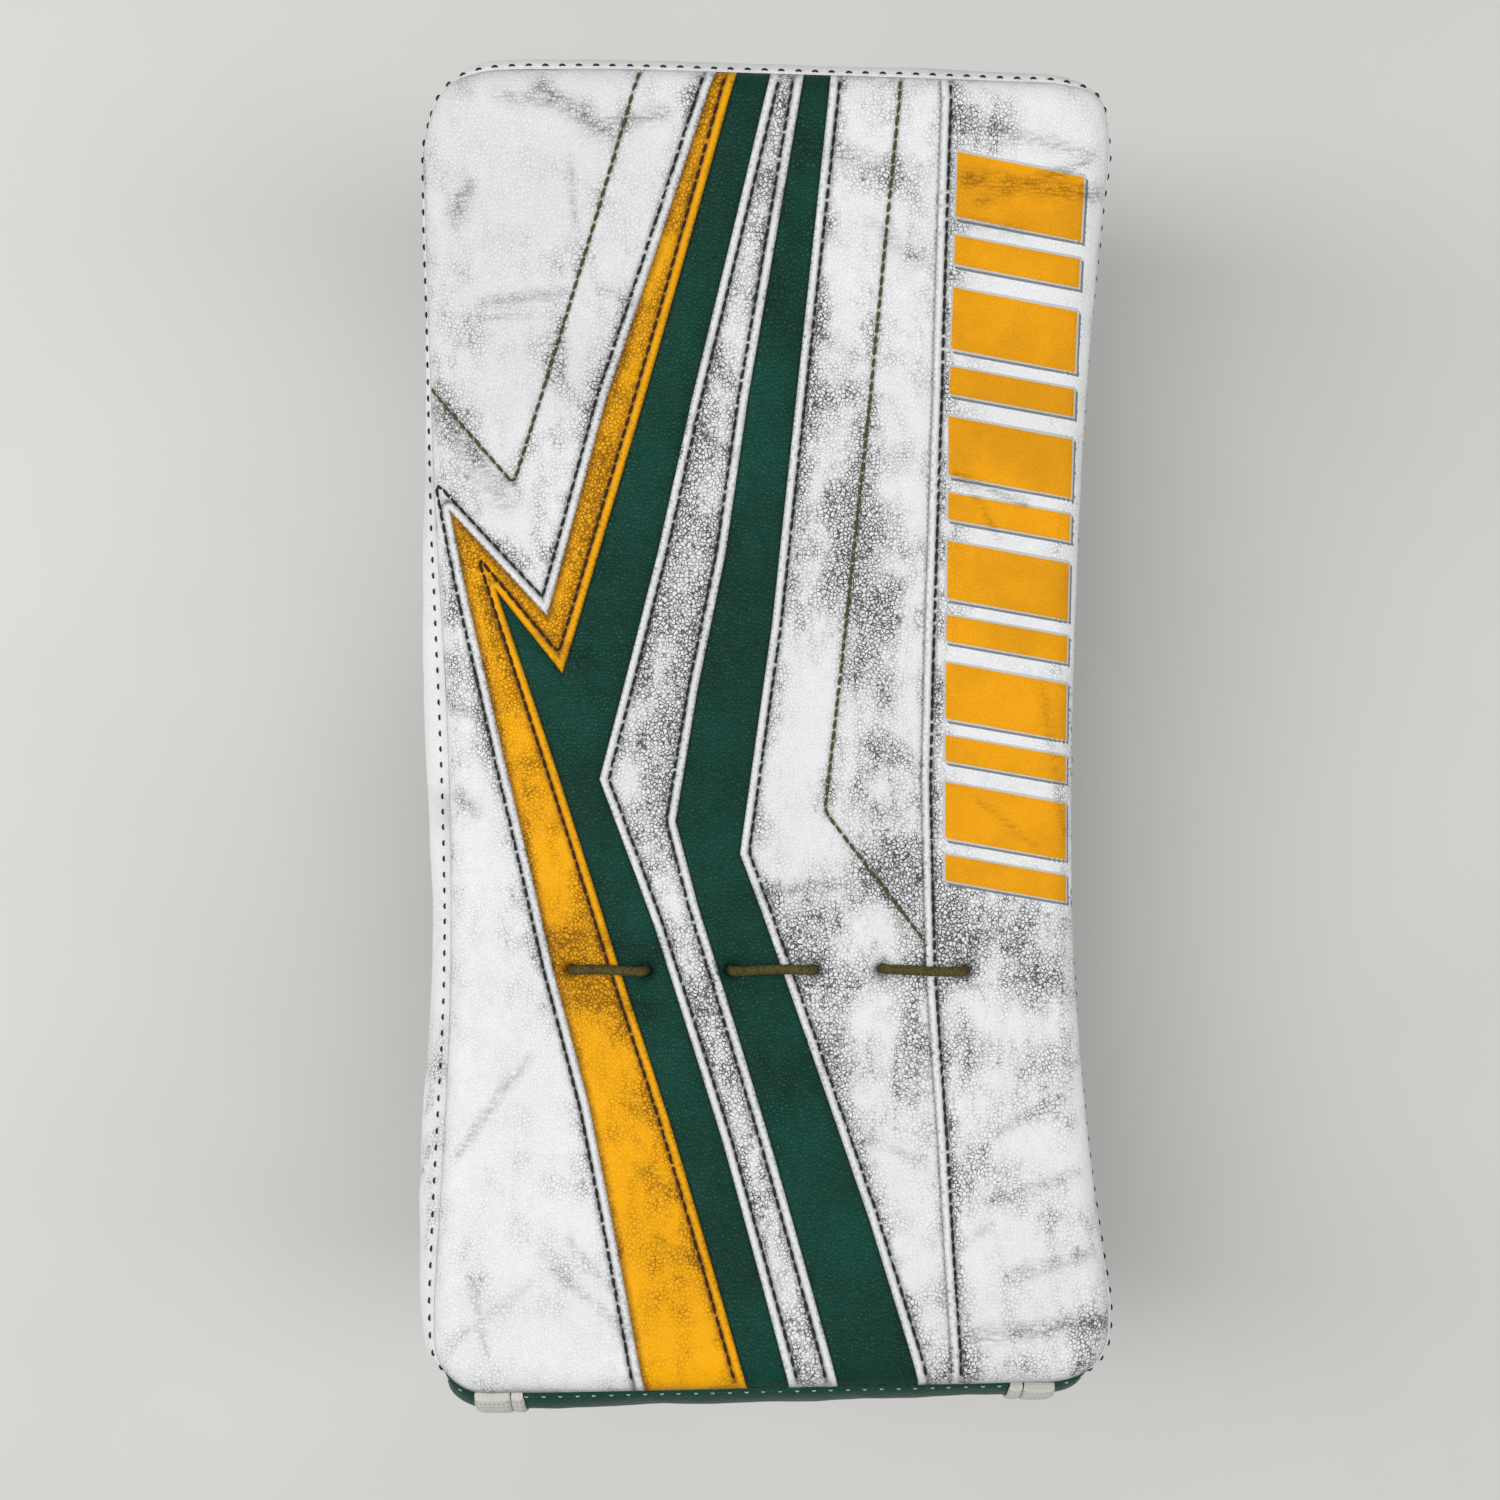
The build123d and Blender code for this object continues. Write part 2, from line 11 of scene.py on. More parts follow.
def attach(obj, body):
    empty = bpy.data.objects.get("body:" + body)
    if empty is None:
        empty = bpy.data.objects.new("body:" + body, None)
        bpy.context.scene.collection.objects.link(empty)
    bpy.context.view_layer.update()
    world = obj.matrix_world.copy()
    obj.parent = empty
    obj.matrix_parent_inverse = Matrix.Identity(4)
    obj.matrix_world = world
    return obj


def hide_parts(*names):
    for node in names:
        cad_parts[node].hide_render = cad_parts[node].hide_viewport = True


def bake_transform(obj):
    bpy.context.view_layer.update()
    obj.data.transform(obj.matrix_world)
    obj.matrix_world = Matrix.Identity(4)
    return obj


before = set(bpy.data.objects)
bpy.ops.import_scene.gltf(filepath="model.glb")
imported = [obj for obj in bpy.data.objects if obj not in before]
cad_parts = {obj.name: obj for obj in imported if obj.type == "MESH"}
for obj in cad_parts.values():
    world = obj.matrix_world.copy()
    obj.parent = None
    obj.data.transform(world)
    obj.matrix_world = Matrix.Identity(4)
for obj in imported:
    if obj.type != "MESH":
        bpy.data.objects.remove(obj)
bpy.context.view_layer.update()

MM = 0.001
RNG = random.Random(7)

# ---------------------------------------------------------------- the board's shape, in mm
FACE_LOW_Y, FACE_LOW_Z = -30.0, 129.0
RADIUS_FINGER_END, RADIUS_CUFF_END = 800.0, 445.0
BOARD_THICKNESS = 29.0
SEAM_DEPTH = 8.0
EDGE_WIDTH = 9.0
LACE_Y = -72.5
LACE_X = [-60.5, -37.5, -11.5, 14.5, 35.0, 61.0]


def at(x, y, depth):
    """The point at a depth below the face, y being measured along the face's plan."""
    radius = RADIUS_FINGER_END if y > FACE_LOW_Y else RADIUS_CUFF_END
    sine = (y - FACE_LOW_Y) / radius
    cosine = math.sqrt(1 - sine * sine)
    reach = radius + depth
    return Vector((x, FACE_LOW_Y + reach * sine, FACE_LOW_Z + radius - reach * cosine))


def face_normal(y):
    """The face's outward normal."""
    radius = RADIUS_FINGER_END if y > FACE_LOW_Y else RADIUS_CUFF_END
    sine = (y - FACE_LOW_Y) / radius
    return Vector((0, -sine, math.sqrt(1 - sine * sine)))


# ---------------------------------------------------------------- meshes
def new_mesh(name, verts, faces, material):
    """A mesh object from points in millimetres."""
    mesh = bpy.data.meshes.new(name)
    mesh.from_pydata([tuple(c * MM for c in v) for v in verts], [], faces)
    mesh.validate()
    mesh.materials.append(material)
    mesh.polygons.foreach_set("use_smooth", [True] * len(mesh.polygons))
    mesh.update()
    obj = bpy.data.objects.new(name, mesh)
    bpy.context.collection.objects.link(obj)
    return obj


def ring_faces(rings, size, closed=False, looped=True, first=0):
    """Quads between rings of points that follow each other, each with size points."""
    faces = []
    for i in range(rings if closed else rings - 1):
        j = (i + 1) % rings
        for k in range(size if looped else size - 1):
            m = (k + 1) % size
            quad = (i * size + k, i * size + m, j * size + m, j * size + k)
            faces.append(tuple(first + corner for corner in quad))
    return faces


def cap_faces(rings, size, first=0):
    """Faces that close the first and the last of the rings."""
    last = first + (rings - 1) * size
    return [tuple(reversed(range(first, first + size))), tuple(range(last, last + size))]


def add_paint(obj, rows):
    """Stores grime and painted shade as a colour on each point: crackle, smear, and stains with
    painted shade.
    """
    layer = obj.data.color_attributes.new("wear_and_shade", "FLOAT_COLOR", "POINT")
    flat = np.ones((len(obj.data.vertices), 4), dtype=np.float32)
    flat[:, :3] = rows
    layer.data.foreach_set("color", flat.ravel())


def apply_modifiers(obj):
    """Leaves the object with its final mesh and no modifiers."""
    graph = bpy.context.evaluated_depsgraph_get()
    mesh = bpy.data.meshes.new_from_object(obj.evaluated_get(graph))
    obj.modifiers.clear()
    obj.data = mesh


def place(obj, body, nodes=()):
    """Puts a piece on the body it rides on and hides the nodes it stands for."""
    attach(obj, body)
    if nodes:
        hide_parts(*nodes)
    return obj


def resample(points, step, closed=False):
    """Points at an even spacing along a polyline."""
    pts = [Vector(p) for p in points]
    if closed:
        pts.append(pts[0])
    out = []
    for a, b in zip(pts, pts[1:]):
        count = max(1, round((b - a).length / step))
        out += [a.lerp(b, i / count) for i in range(count)]
    if not closed:
        out.append(pts[-1])
    return out


def smooth_loop(points):
    """A closed Catmull-Rom curve through given points."""
    pts = [Vector(p) for p in points]
    n = len(pts)
    out = []
    for i in range(n):
        p0, p1, p2, p3 = (pts[(i + k) % n] for k in (-1, 0, 1, 2))
        for j in range(10):
            t = j / 10
            out.append(0.5 * ((2 * p1) + (p2 - p0) * t + (2 * p0 - 5 * p1 + 4 * p2 - p3) * t ** 2
                              + (3 * p1 - p0 - 3 * p2 + p3) * t ** 3))
    return out


def offset_line(points, distance):
    """A polyline moved sideways, to the right of its direction, with mitred corners."""
    pts = [Vector(p) for p in points]
    dirs = [(b - a).normalized() for a, b in zip(pts, pts[1:])]
    rights = [Vector((d.y, -d.x)) for d in dirs]
    out = [pts[0] + rights[0] * distance]
    for p, a, b in zip(pts[1:-1], rights, rights[1:]):
        bisector = (a + b).normalized()
        out.append(p + bisector * (distance / max(0.25, bisector.dot(a))))
    out.append(pts[-1] + rights[-1] * distance)
    return out


def line_distance(px, py, points):
    """Distance of many points from a polyline."""
    best = np.full(px.shape, 1e9)
    for (ax, ay), (bx, by) in zip(points, points[1:]):
        dx, dy = bx - ax, by - ay
        t = np.clip(((px - ax) * dx + (py - ay) * dy) / (dx * dx + dy * dy), 0, 1)
        best = np.minimum(best, np.hypot(px - ax - t * dx, py - ay - t * dy))
    return best


def plan_arrays(points):
    """The x and the y of a list of points, as two arrays."""
    return np.array([p[0] for p in points]), np.array([p[1] for p in points])


def inside(px, py, polygon):
    """Even-odd test of many points."""
    result = np.zeros(px.shape, dtype=bool)
    for (ax, ay), (bx, by) in zip(polygon, polygon[1:] + polygon[:1]):
        crosses = (ay > py) != (by > py)
        with np.errstate(divide="ignore", invalid="ignore"):
            result ^= crosses & (px < (bx - ax) * (py - ay) / (by - ay) + ax)
    return result


def triangulate(points, edges, border):
    """Triangles over plan points, with the given edges among theirs, inside a border."""
    verts, _, tris, *_ = geometry.delaunay_2d_cdt([Vector(p) for p in points], edges, [], 0, 1e-4)
    px, py = plan_arrays(verts)
    tris = np.array(tris)
    return px, py, tris[inside(px[tris].mean(axis=1), py[tris].mean(axis=1), border)]


def tube(name, centres, radius, material, sides, closed=False, ripple=None):
    """A mesh tube on a list of centres in mm; ripple(i, angle) scales its radius."""
    n = len(centres)
    verts = []
    side = None
    for i, c in enumerate(centres):
        ahead = centres[(i + 1) % n] if closed or i + 1 < n else c
        behind = centres[i - 1] if closed or i else c
        tangent = (ahead - behind).normalized()
        if side is None:
            side = tangent.cross(Vector((0.3, 0.2, 1))).normalized()
        side = (side - tangent * side.dot(tangent)).normalized()
        up = tangent.cross(side)
        for k in range(sides):
            angle = 2 * math.pi * k / sides
            scale = radius * (ripple(i, angle) if ripple else 1)
            verts.append(c + (side * math.cos(angle) + up * math.sin(angle)) * scale)
    faces = ring_faces(n, sides, closed)
    if not closed:
        faces += cap_faces(n, sides)
    return new_mesh(name, verts, faces, material)


STITCH_RINGS = ((0.0, 0.35), (0.08, 0.8), (0.25, 1.0), (0.5, 1.05), (0.75, 1.0), (0.92, 0.8),
                (1.0, 0.35))
STITCH_SIDES = 6


def stitches(name, points, normal_at, material, pitch, length, radius, lift=0.1, tilt=0.0):
    """A run of thread stitches along a line of surface points."""
    pts = [Vector(p) for p in points]
    marks = [0.0]
    for a, b in zip(pts, pts[1:]):
        marks.append(marks[-1] + (b - a).length)
    count = max(1, int(marks[-1] / pitch))
    step = marks[-1] / count

    def locate(distance):
        i = int(np.searchsorted(marks, distance, side="right")) - 1
        i = min(max(i, 0), len(pts) - 2)
        share = (distance - marks[i]) / max(1e-9, marks[i + 1] - marks[i])
        return pts[i].lerp(pts[i + 1], min(share, 1.0))

    verts, faces = [], []
    for s in range(count):
        start = s * step + (step - length) / 2 + RNG.uniform(-0.12, 0.12)
        a, b = locate(max(0, start)), locate(min(marks[-1], start + length))
        along = b - a
        if along.length < length * 0.3:
            continue
        normal = normal_at((a + b) / 2)
        side = along.normalized().cross(normal).normalized()
        b = b + side * tilt + side * RNG.uniform(-0.06, 0.06)
        base = len(verts)
        for t, grow in STITCH_RINGS:
            height = lift + radius * (math.sin(math.pi * t) * 0.9 - 0.35)
            centre = a.lerp(b, t) + normal * height
            for k in range(STITCH_SIDES):
                angle = 2 * math.pi * k / STITCH_SIDES
                verts.append(centre + (side * math.cos(angle) + normal * math.sin(angle))
                             * radius * grow)
        rings = len(STITCH_RINGS)
        faces += ring_faces(rings, STITCH_SIDES, first=base) + cap_faces(rings, STITCH_SIDES, base)
    return new_mesh(name, verts, faces, material)


def drape(piece, points, outward):
    """Points moved along a direction to a piece's surface, in mm; outward may be a function."""
    verts = [v.co / MM for v in piece.data.vertices]
    tree = BVHTree.FromPolygons(verts, [tuple(p.vertices) for p in piece.data.polygons])
    out = []
    for point in points:
        away = outward(point) if callable(outward) else outward
        hit = tree.ray_cast(point + away * 9, -away, 18)[0]
        out.append(hit if hit is not None else point)
    return out


# ---------------------------------------------------------------- materials
class Shader:
    """A small helper for writing a node material."""

    def __init__(self, name):
        self.material = bpy.data.materials.new(name)
        self.material.use_nodes = True
        self.tree = self.material.node_tree
        self.tree.nodes.clear()
        self.object = self.node("ShaderNodeTexCoord").outputs["Object"]

    def node(self, kind, inputs=None, **settings):
        made = self.tree.nodes.new(kind)
        for key, value in settings.items():
            setattr(made, key, value)
        for key, value in (inputs or {}).items():
            socket = made.inputs[key]
            if isinstance(value, bpy.types.NodeSocket):
                self.tree.links.new(value, socket)
            else:
                socket.default_value = value
        return made

    def math(self, operation, a, b=0.0, c=0.0, clamp=False):
        return self.node("ShaderNodeMath", {0: a, 1: b, 2: c}, operation=operation,
                         use_clamp=clamp).outputs[0]

    def ramp(self, value, low, high, to_low=0.0, to_high=1.0):
        return self.node("ShaderNodeMapRange", {
            "Value": value, "From Min": low, "From Max": high, "To Min": to_low,
            "To Max": to_high}, interpolation_type="SMOOTHSTEP").outputs["Result"]

    def noise(self, scale, detail=2.0, rough=0.5, vector=None):
        return self.node("ShaderNodeTexNoise", {
            "Vector": vector or self.object, "Scale": scale, "Detail": detail,
            "Roughness": rough}).outputs["Fac"]

    def warp(self, scale, amount):
        wobble = self.node("ShaderNodeTexNoise", {"Vector": self.object, "Scale": scale,
                                                  "Detail": 2.0}).outputs["Color"]
        moved = self.node("ShaderNodeVectorMath", {0: wobble, 1: (0.5, 0.5, 0.5)},
                          operation="SUBTRACT").outputs[0]
        moved = self.node("ShaderNodeVectorMath", {0: moved, "Scale": amount},
                          operation="SCALE").outputs[0]
        return self.node("ShaderNodeVectorMath", {0: self.object, 1: moved},
                         operation="ADD").outputs[0]

    def stretch(self, scale, turn=0.0):
        return self.node("ShaderNodeMapping", {"Vector": self.object, "Scale": scale,
                                               "Rotation": (0, 0, turn)}).outputs[0]

    def cells(self, scale, vector):
        return self.node("ShaderNodeTexVoronoi", {"Vector": vector, "Scale": scale},
                         feature="DISTANCE_TO_EDGE").outputs["Distance"]

    def blend(self, factor, a, b):
        made = self.node("ShaderNodeMix", data_type="RGBA")
        for socket, value in ((made.inputs[0], factor), (made.inputs[6], a), (made.inputs[7], b)):
            if isinstance(value, bpy.types.NodeSocket):
                self.tree.links.new(value, socket)
            else:
                socket.default_value = value if isinstance(value, float) else (*value, 1.0)
        return made.outputs[2]

    # Crackle grime, smears, and stains with painted shade, read from each point.
    def wear_and_shade(self):
        attribute = self.node("ShaderNodeAttribute", attribute_name="wear_and_shade")
        split = self.node("ShaderNodeSeparateColor", {0: attribute.outputs["Color"]})
        return split.outputs[0], split.outputs[1], split.outputs[2]

    def finish(self, colour, roughness, heights, **fixed):
        """heights is a list of (height socket, distance in mm)."""
        normal = None
        for height, distance in heights:
            inputs = {"Height": height, "Distance": distance * MM, "Strength": 1.0}
            if normal:
                inputs["Normal"] = normal
            normal = self.node("ShaderNodeBump", inputs).outputs[0]
        inputs = {"Base Color": colour, "Roughness": roughness, **fixed}
        if normal:
            inputs["Normal"] = normal
        shader = self.node("ShaderNodeBsdfPrincipled", inputs)
        out = self.node("ShaderNodeOutputMaterial")
        self.tree.links.new(shader.outputs[0], out.inputs["Surface"])
        return self.material


def srgb(r, g, b):
    """Linear colour from 0-255 display values."""
    return tuple((c / 255 / 12.92) if c < 10.3 else ((c / 255 + 0.055) / 1.055) ** 2.4
                 for c in (r, g, b))


def skin(name, base, dirt_and_shade, crack=1.0, cell=860.0, shade=0.12, gloss=0.46, smear=1.15,
         painted=True, shine=0.35, grain_highlight=0.0, relief=0.10):
    """Grained synthetic leather with grime in its crackle, smears and stains; on painted pieces the
    stains also carry painted shade, and a painted highlight can be laid as bright specks on the
    grain.
    """
    s = Shader(name)
    if painted:
        crackle, smears, stain_and_shade = s.wear_and_shade()
    else:
        wide = s.noise(14.0, 3.0)
        crackle = s.ramp(wide, 0.45, 0.75, 0.05, 0.6)
        smears = s.ramp(s.noise(9.0, 2.0), 0.58, 0.75, 0.0, 0.5)
        stain_and_shade = s.ramp(s.noise(22.0, 3.0), 0.55, 0.8, 0.0, 0.35)
    bent = s.warp(420.0, 0.0011)
    edge = s.cells(cell, bent)
    coarse = s.cells(cell * 0.42, bent)
    patches = s.noise(75.0, 5.0, 0.62)
    fine = s.noise(1500.0, 3.0, 0.6)
    wiped = s.noise(150.0, 4.0, 0.65, s.stretch((1.0, 0.4, 1.0), 0.3))
    uneven = s.math("MULTIPLY", s.math("SUBTRACT", patches, 0.53), 1.5)
    uneven = s.math("MULTIPLY_ADD", s.math("SUBTRACT", wiped, 0.52), 1.6, uneven)
    uneven = s.math("MULTIPLY", uneven, s.ramp(crackle, 0.0, 0.4, 0.35, 1.0))
    amount = s.math("ADD", uneven, s.math("MULTIPLY_ADD", smears, 0.45, crackle), clamp=True)
    width = s.math("MULTIPLY_ADD", amount, 0.17, 0.035)
    lines = s.ramp(s.math("DIVIDE", edge, width), 0.40, 1.0, 1.0, 0.0)
    lines = s.math("MULTIPLY", lines, s.ramp(fine, 0.28, 0.50))
    veins = s.ramp(coarse, 0.02, 0.07, 1.0, 0.0)
    dark = s.math("MULTIPLY", lines, s.ramp(amount, -0.05, 0.85, 0.0, 1.0), clamp=True)
    dark = s.math("MAXIMUM", dark, s.math("MULTIPLY", veins, s.ramp(amount, 0.25, 0.9, 0.0, 0.4)))
    rubbed = s.noise(520.0, 4.0, 0.75, s.stretch((0.45, 2.4, 1.0), 0.3))
    streak = s.math("MULTIPLY", smears, s.ramp(rubbed, 0.38, 0.62), clamp=True)
    streak = s.math("MULTIPLY", streak, 0.75 * smear)
    grey = tuple(0.45 * b + 0.55 * d for b, d in zip(base, dirt_and_shade))
    tone = s.blend(s.ramp(s.noise(26.0, 4.0, 0.6), 0.36, 0.64, 0.0, shade), base,
                   tuple(c * 0.62 for c in base))
    tone = s.blend(s.math("MULTIPLY", amount, 0.13), tone, grey)
    # Painted highlight: bright specks on the tops of the grain cells, standing in for light
    # glinting off the raised grain.
    if grain_highlight:
        highlight_specks = s.math("MULTIPLY", s.ramp(edge, 0.12, 0.34), s.ramp(fine, 0.46, 0.62))
        tone = s.blend(s.math("MULTIPLY", highlight_specks, grain_highlight), tone,
                       tuple(min(1.0, 1.9 * b + 0.035) for b in base))
    tone = s.blend(s.math("MULTIPLY", dark, 0.92 * crack), tone, dirt_and_shade)
    tone = s.blend(streak, tone, tuple(0.12 * b + 0.88 * d for b, d in zip(base, dirt_and_shade)))
    # Stains darken to the grime colour; on painted pieces this channel also holds painted shade: a
    # shadow line beside folded panel edges, the lace holes and a shadow under the lace.
    tone = s.blend(stain_and_shade, tone, dirt_and_shade)
    rough = s.math("MULTIPLY_ADD", s.math("MAXIMUM", dark, streak), 0.25, gloss)
    rough = s.math("MULTIPLY_ADD", s.noise(90.0, 3.0), 0.12, rough)
    grain = s.ramp(edge, 0.0, 0.22)
    soft = s.noise(210.0, 3.0, 0.55)
    return s.finish(tone, rough, [(soft, 0.30), (grain, relief)], **{"Specular IOR Level": shine})


def cloth(name, base, scale=900.0, contrast=0.5, relief=0.25, sheen=0.3, rough=0.85):
    """Woven fabric or webbing: two crossed sets of threads."""
    s = Shader(name)
    warp = s.node("ShaderNodeTexWave", {"Vector": s.object, "Scale": scale / 6.283,
                                        "Distortion": 0.4, "Detail": 1.0,
                                        "Detail Scale": 2.0}, bands_direction="X").outputs["Fac"]
    weft = s.node("ShaderNodeTexWave", {"Vector": s.stretch((1.0, 1.0, 1.0), 0.0),
                                        "Scale": scale / 6.283, "Distortion": 0.4,
                                        "Detail": 1.0}, bands_direction="Y").outputs["Fac"]
    rise = s.node("ShaderNodeTexWave", {"Vector": s.object, "Scale": scale / 6.283,
                                        "Distortion": 0.4}, bands_direction="Z").outputs["Fac"]
    weave = s.math("MAXIMUM", s.math("MULTIPLY", warp, weft), s.math("MULTIPLY", rise, 0.6))
    fuzz = s.noise(scale * 2.5, 3.0, 0.7)
    worn = s.noise(20.0, 4.0, 0.6)
    tone = s.blend(s.ramp(weave, 0.1, 0.8, contrast, 0.0), base, tuple(c * 0.35 for c in base))
    tone = s.blend(s.ramp(worn, 0.5, 0.85, 0.0, 0.35), tone, tuple(0.5 * c + 0.08 for c in base))
    tone = s.blend(s.math("MULTIPLY", fuzz, 0.18), tone,
                   tuple(min(1, c * 1.5 + 0.02) for c in base))
    return s.finish(tone, s.ramp(worn, 0.2, 0.8, rough - 0.08, rough + 0.05),
                    [(weave, relief), (fuzz, 0.08)],
                    **{"Sheen Weight": sheen, "Specular IOR Level": 0.25})


def thread_material(name, base):
    """Twisted sewing thread."""
    s = Shader(name)
    twist = s.noise(2600.0, 2.0, 0.6, s.stretch((1.0, 1.0, 1.0), 0.8))
    tone = s.blend(s.ramp(twist, 0.35, 0.7), tuple(c * 0.45 for c in base), base)
    return s.finish(tone, s.ramp(twist, 0.2, 0.8, 0.5, 0.75), [(twist, 0.12)],
                    **{"Specular IOR Level": 0.3})


def braid_material(name, base, dark):
    """Waxed braided cord."""
    s = Shader(name)
    strands = s.cells(1350.0, s.stretch((1.0, 2.0, 2.0), 0.0))
    worn = s.noise(300.0, 3.0)
    tone = s.blend(s.ramp(strands, 0.02, 0.25), dark, base)
    tone = s.blend(s.ramp(worn, 0.45, 0.75, 0.0, 0.6), tone, dark)
    return s.finish(tone, 0.62, [(strands, 0.3)], **{"Specular IOR Level": 0.35})


WHITE = srgb(233, 234, 235)
YELLOW = srgb(248, 174, 0)
GREEN = srgb(1, 65, 52)
# The darkest grime colour, also the colour of the painted shade on white leather.
BLACK_DIRT_AND_SHADE = (0.012, 0.012, 0.013)
MAT = {
    "white": skin("white_leather", WHITE, BLACK_DIRT_AND_SHADE),
    "white_side": skin("white_leather_side", WHITE, BLACK_DIRT_AND_SHADE, painted=False),
    "yellow": skin("yellow_leather", YELLOW, srgb(66, 36, 12), crack=0.8, shade=0.16, shine=0.15),
    # The two green leathers carry painted highlight specks on their grain.
    "green": skin("green_leather", GREEN, srgb(4, 26, 20), crack=0.6, shade=0.9, gloss=0.45,
                  shine=0.18, grain_highlight=0.30, relief=0.16),
    "green_side": skin("green_leather_side", GREEN, srgb(4, 26, 20), crack=0.5, shade=0.3,
                       gloss=0.36, painted=False, shine=0.3, grain_highlight=0.25, relief=0.16),
    "yellow_print": skin("yellow_print", srgb(240, 163, 0), srgb(66, 36, 12), crack=0.8,
                         shade=0.5, shine=0.15),
    "shadow": skin("grey_print", srgb(124, 128, 130), BLACK_DIRT_AND_SHADE, shade=0.2),
    "pale": skin("pale_print", srgb(196, 198, 200), BLACK_DIRT_AND_SHADE, shade=0.2),
    "thread_black": thread_material("thread_black", srgb(38, 38, 40)),
    "thread_brown": thread_material("thread_brown", srgb(66, 30, 8)),
    "thread_olive": thread_material("thread_olive", srgb(92, 86, 36)),
    "thread_white": thread_material("thread_white", srgb(206, 206, 200)),
    "lace": braid_material("lace_cord", srgb(112, 101, 38), srgb(38, 33, 12)),
    "webbing": cloth("webbing_white", srgb(208, 207, 198), 1500.0, 0.5, 0.35),
}

# ---------------------------------------------------------------- the front cover
OUTLINE = smooth_loop([(x, y, 0) for x, y in (
    (-103.0, 70), (-103.0, 130), (-102.4, 160), (-101.2, 174), (-95.3, 186), (-83.5, 191),
    (-60, 191.8), (-37, 191.6), (0, 190.6), (38, 189.6), (70, 188.6), (86, 187.8),
    (97, 184), (100.4, 172), (99.8, 155), (98.6, 130), (97.0, 89), (96.0, 41), (95.2, -20),
    (95.8, -72), (98.4, -126), (100.6, -155), (101.3, -170), (98.0, -181), (88, -187),
    (67, -188), (23, -188.8), (-20, -189.6), (-70, -190.4), (-87, -190), (-97, -183),
    (-99.6, -171), (-99.8, -146), (-99.0, -76), (-100.2, -2))])
OUTLINE = resample(OUTLINE, 2.0, closed=True)
OUTLINE_XY = [(p.x, p.y) for p in OUTLINE]

# Seams between panels, finger end to cuff end. The last value says on which side the upper
# panel lies: 1 for the thumb's side, -1 for the little finger's.
SEAMS = {
    "yellow_outer": ([(-11.5, 201), (-48.7, 100.8), (-67.7, 36.1), (-96.9, 67.7), (-93.0, 46.6),
                      (-81.3, -7.5), (-66.2, -71.3), (-54.2, -113), (-33.5, -201)], 1),
    "yellow_inner": ([(-5.9, 201), (-63.2, 18.5), (-83.2, 43.9), (-66.1, -8.1), (-45.9, -71.3),
                      (-29.8, -117.4), (-2.5, -201)], 1),
    "stripe_left": ([(3.4, 201), (-23.0, 100.8), (-33.7, 55.1), (-51.9, -14.0), (-35.2, -58.5),
                     (-13.7, -123.2), (9.5, -201)], -1),
    "stripe_right": ([(12.2, 201), (-6.1, 100.8), (-12.9, 55.1), (-21.6, 13.8), (-28.4, -27.0),
                      (-21.6, -52.6), (0.6, -123.2), (23.8, -201)], 1),
    "green_right": ([(19.1, 201), (8.4, 100.8), (1.3, 33.8), (-8.6, -36.9), (-2.1, -54.2),
                     (18.3, -111.6), (30.4, -146), (47.7, -201)], -1),
    "side_seam": ([(49.9, 201), (49.5, 100.8), (47.4, -14.3), (48.5, -71.3), (51.2, -123.2),
                   (53.6, -201)], -1),
}
STITCH_INSET = 2.8
SHAPE_LINES = [
    [(-37.3, 190), (-77.2, 75.5), (-102.0, 103.8)],
    [(38.2, 188), (30.8, 100.8), (22.9, 22.5), (17.7, -23.9), (48.0, -63.4)],
]
# Height across a seam, from the lower panel (negative) over the folded edge to the stitches.
SEAM_S = [-7, -2.4, -1.0, -0.25, 0.0, 0.35, 1.0, 1.8, 2.3, 2.8, 3.3, 4.4, 7, 12]
SEAM_H = [0, -0.05, -0.35, -0.80, -0.50, 0.22, 0.52, 0.42, -0.02, -0.45, -0.02, 0.24, 0.12, 0]
LINE_S = [0, 0.45, 1.1, 3.0, 6.0]
LINE_H = [-0.42, -0.10, 0.14, 0.08, 0]

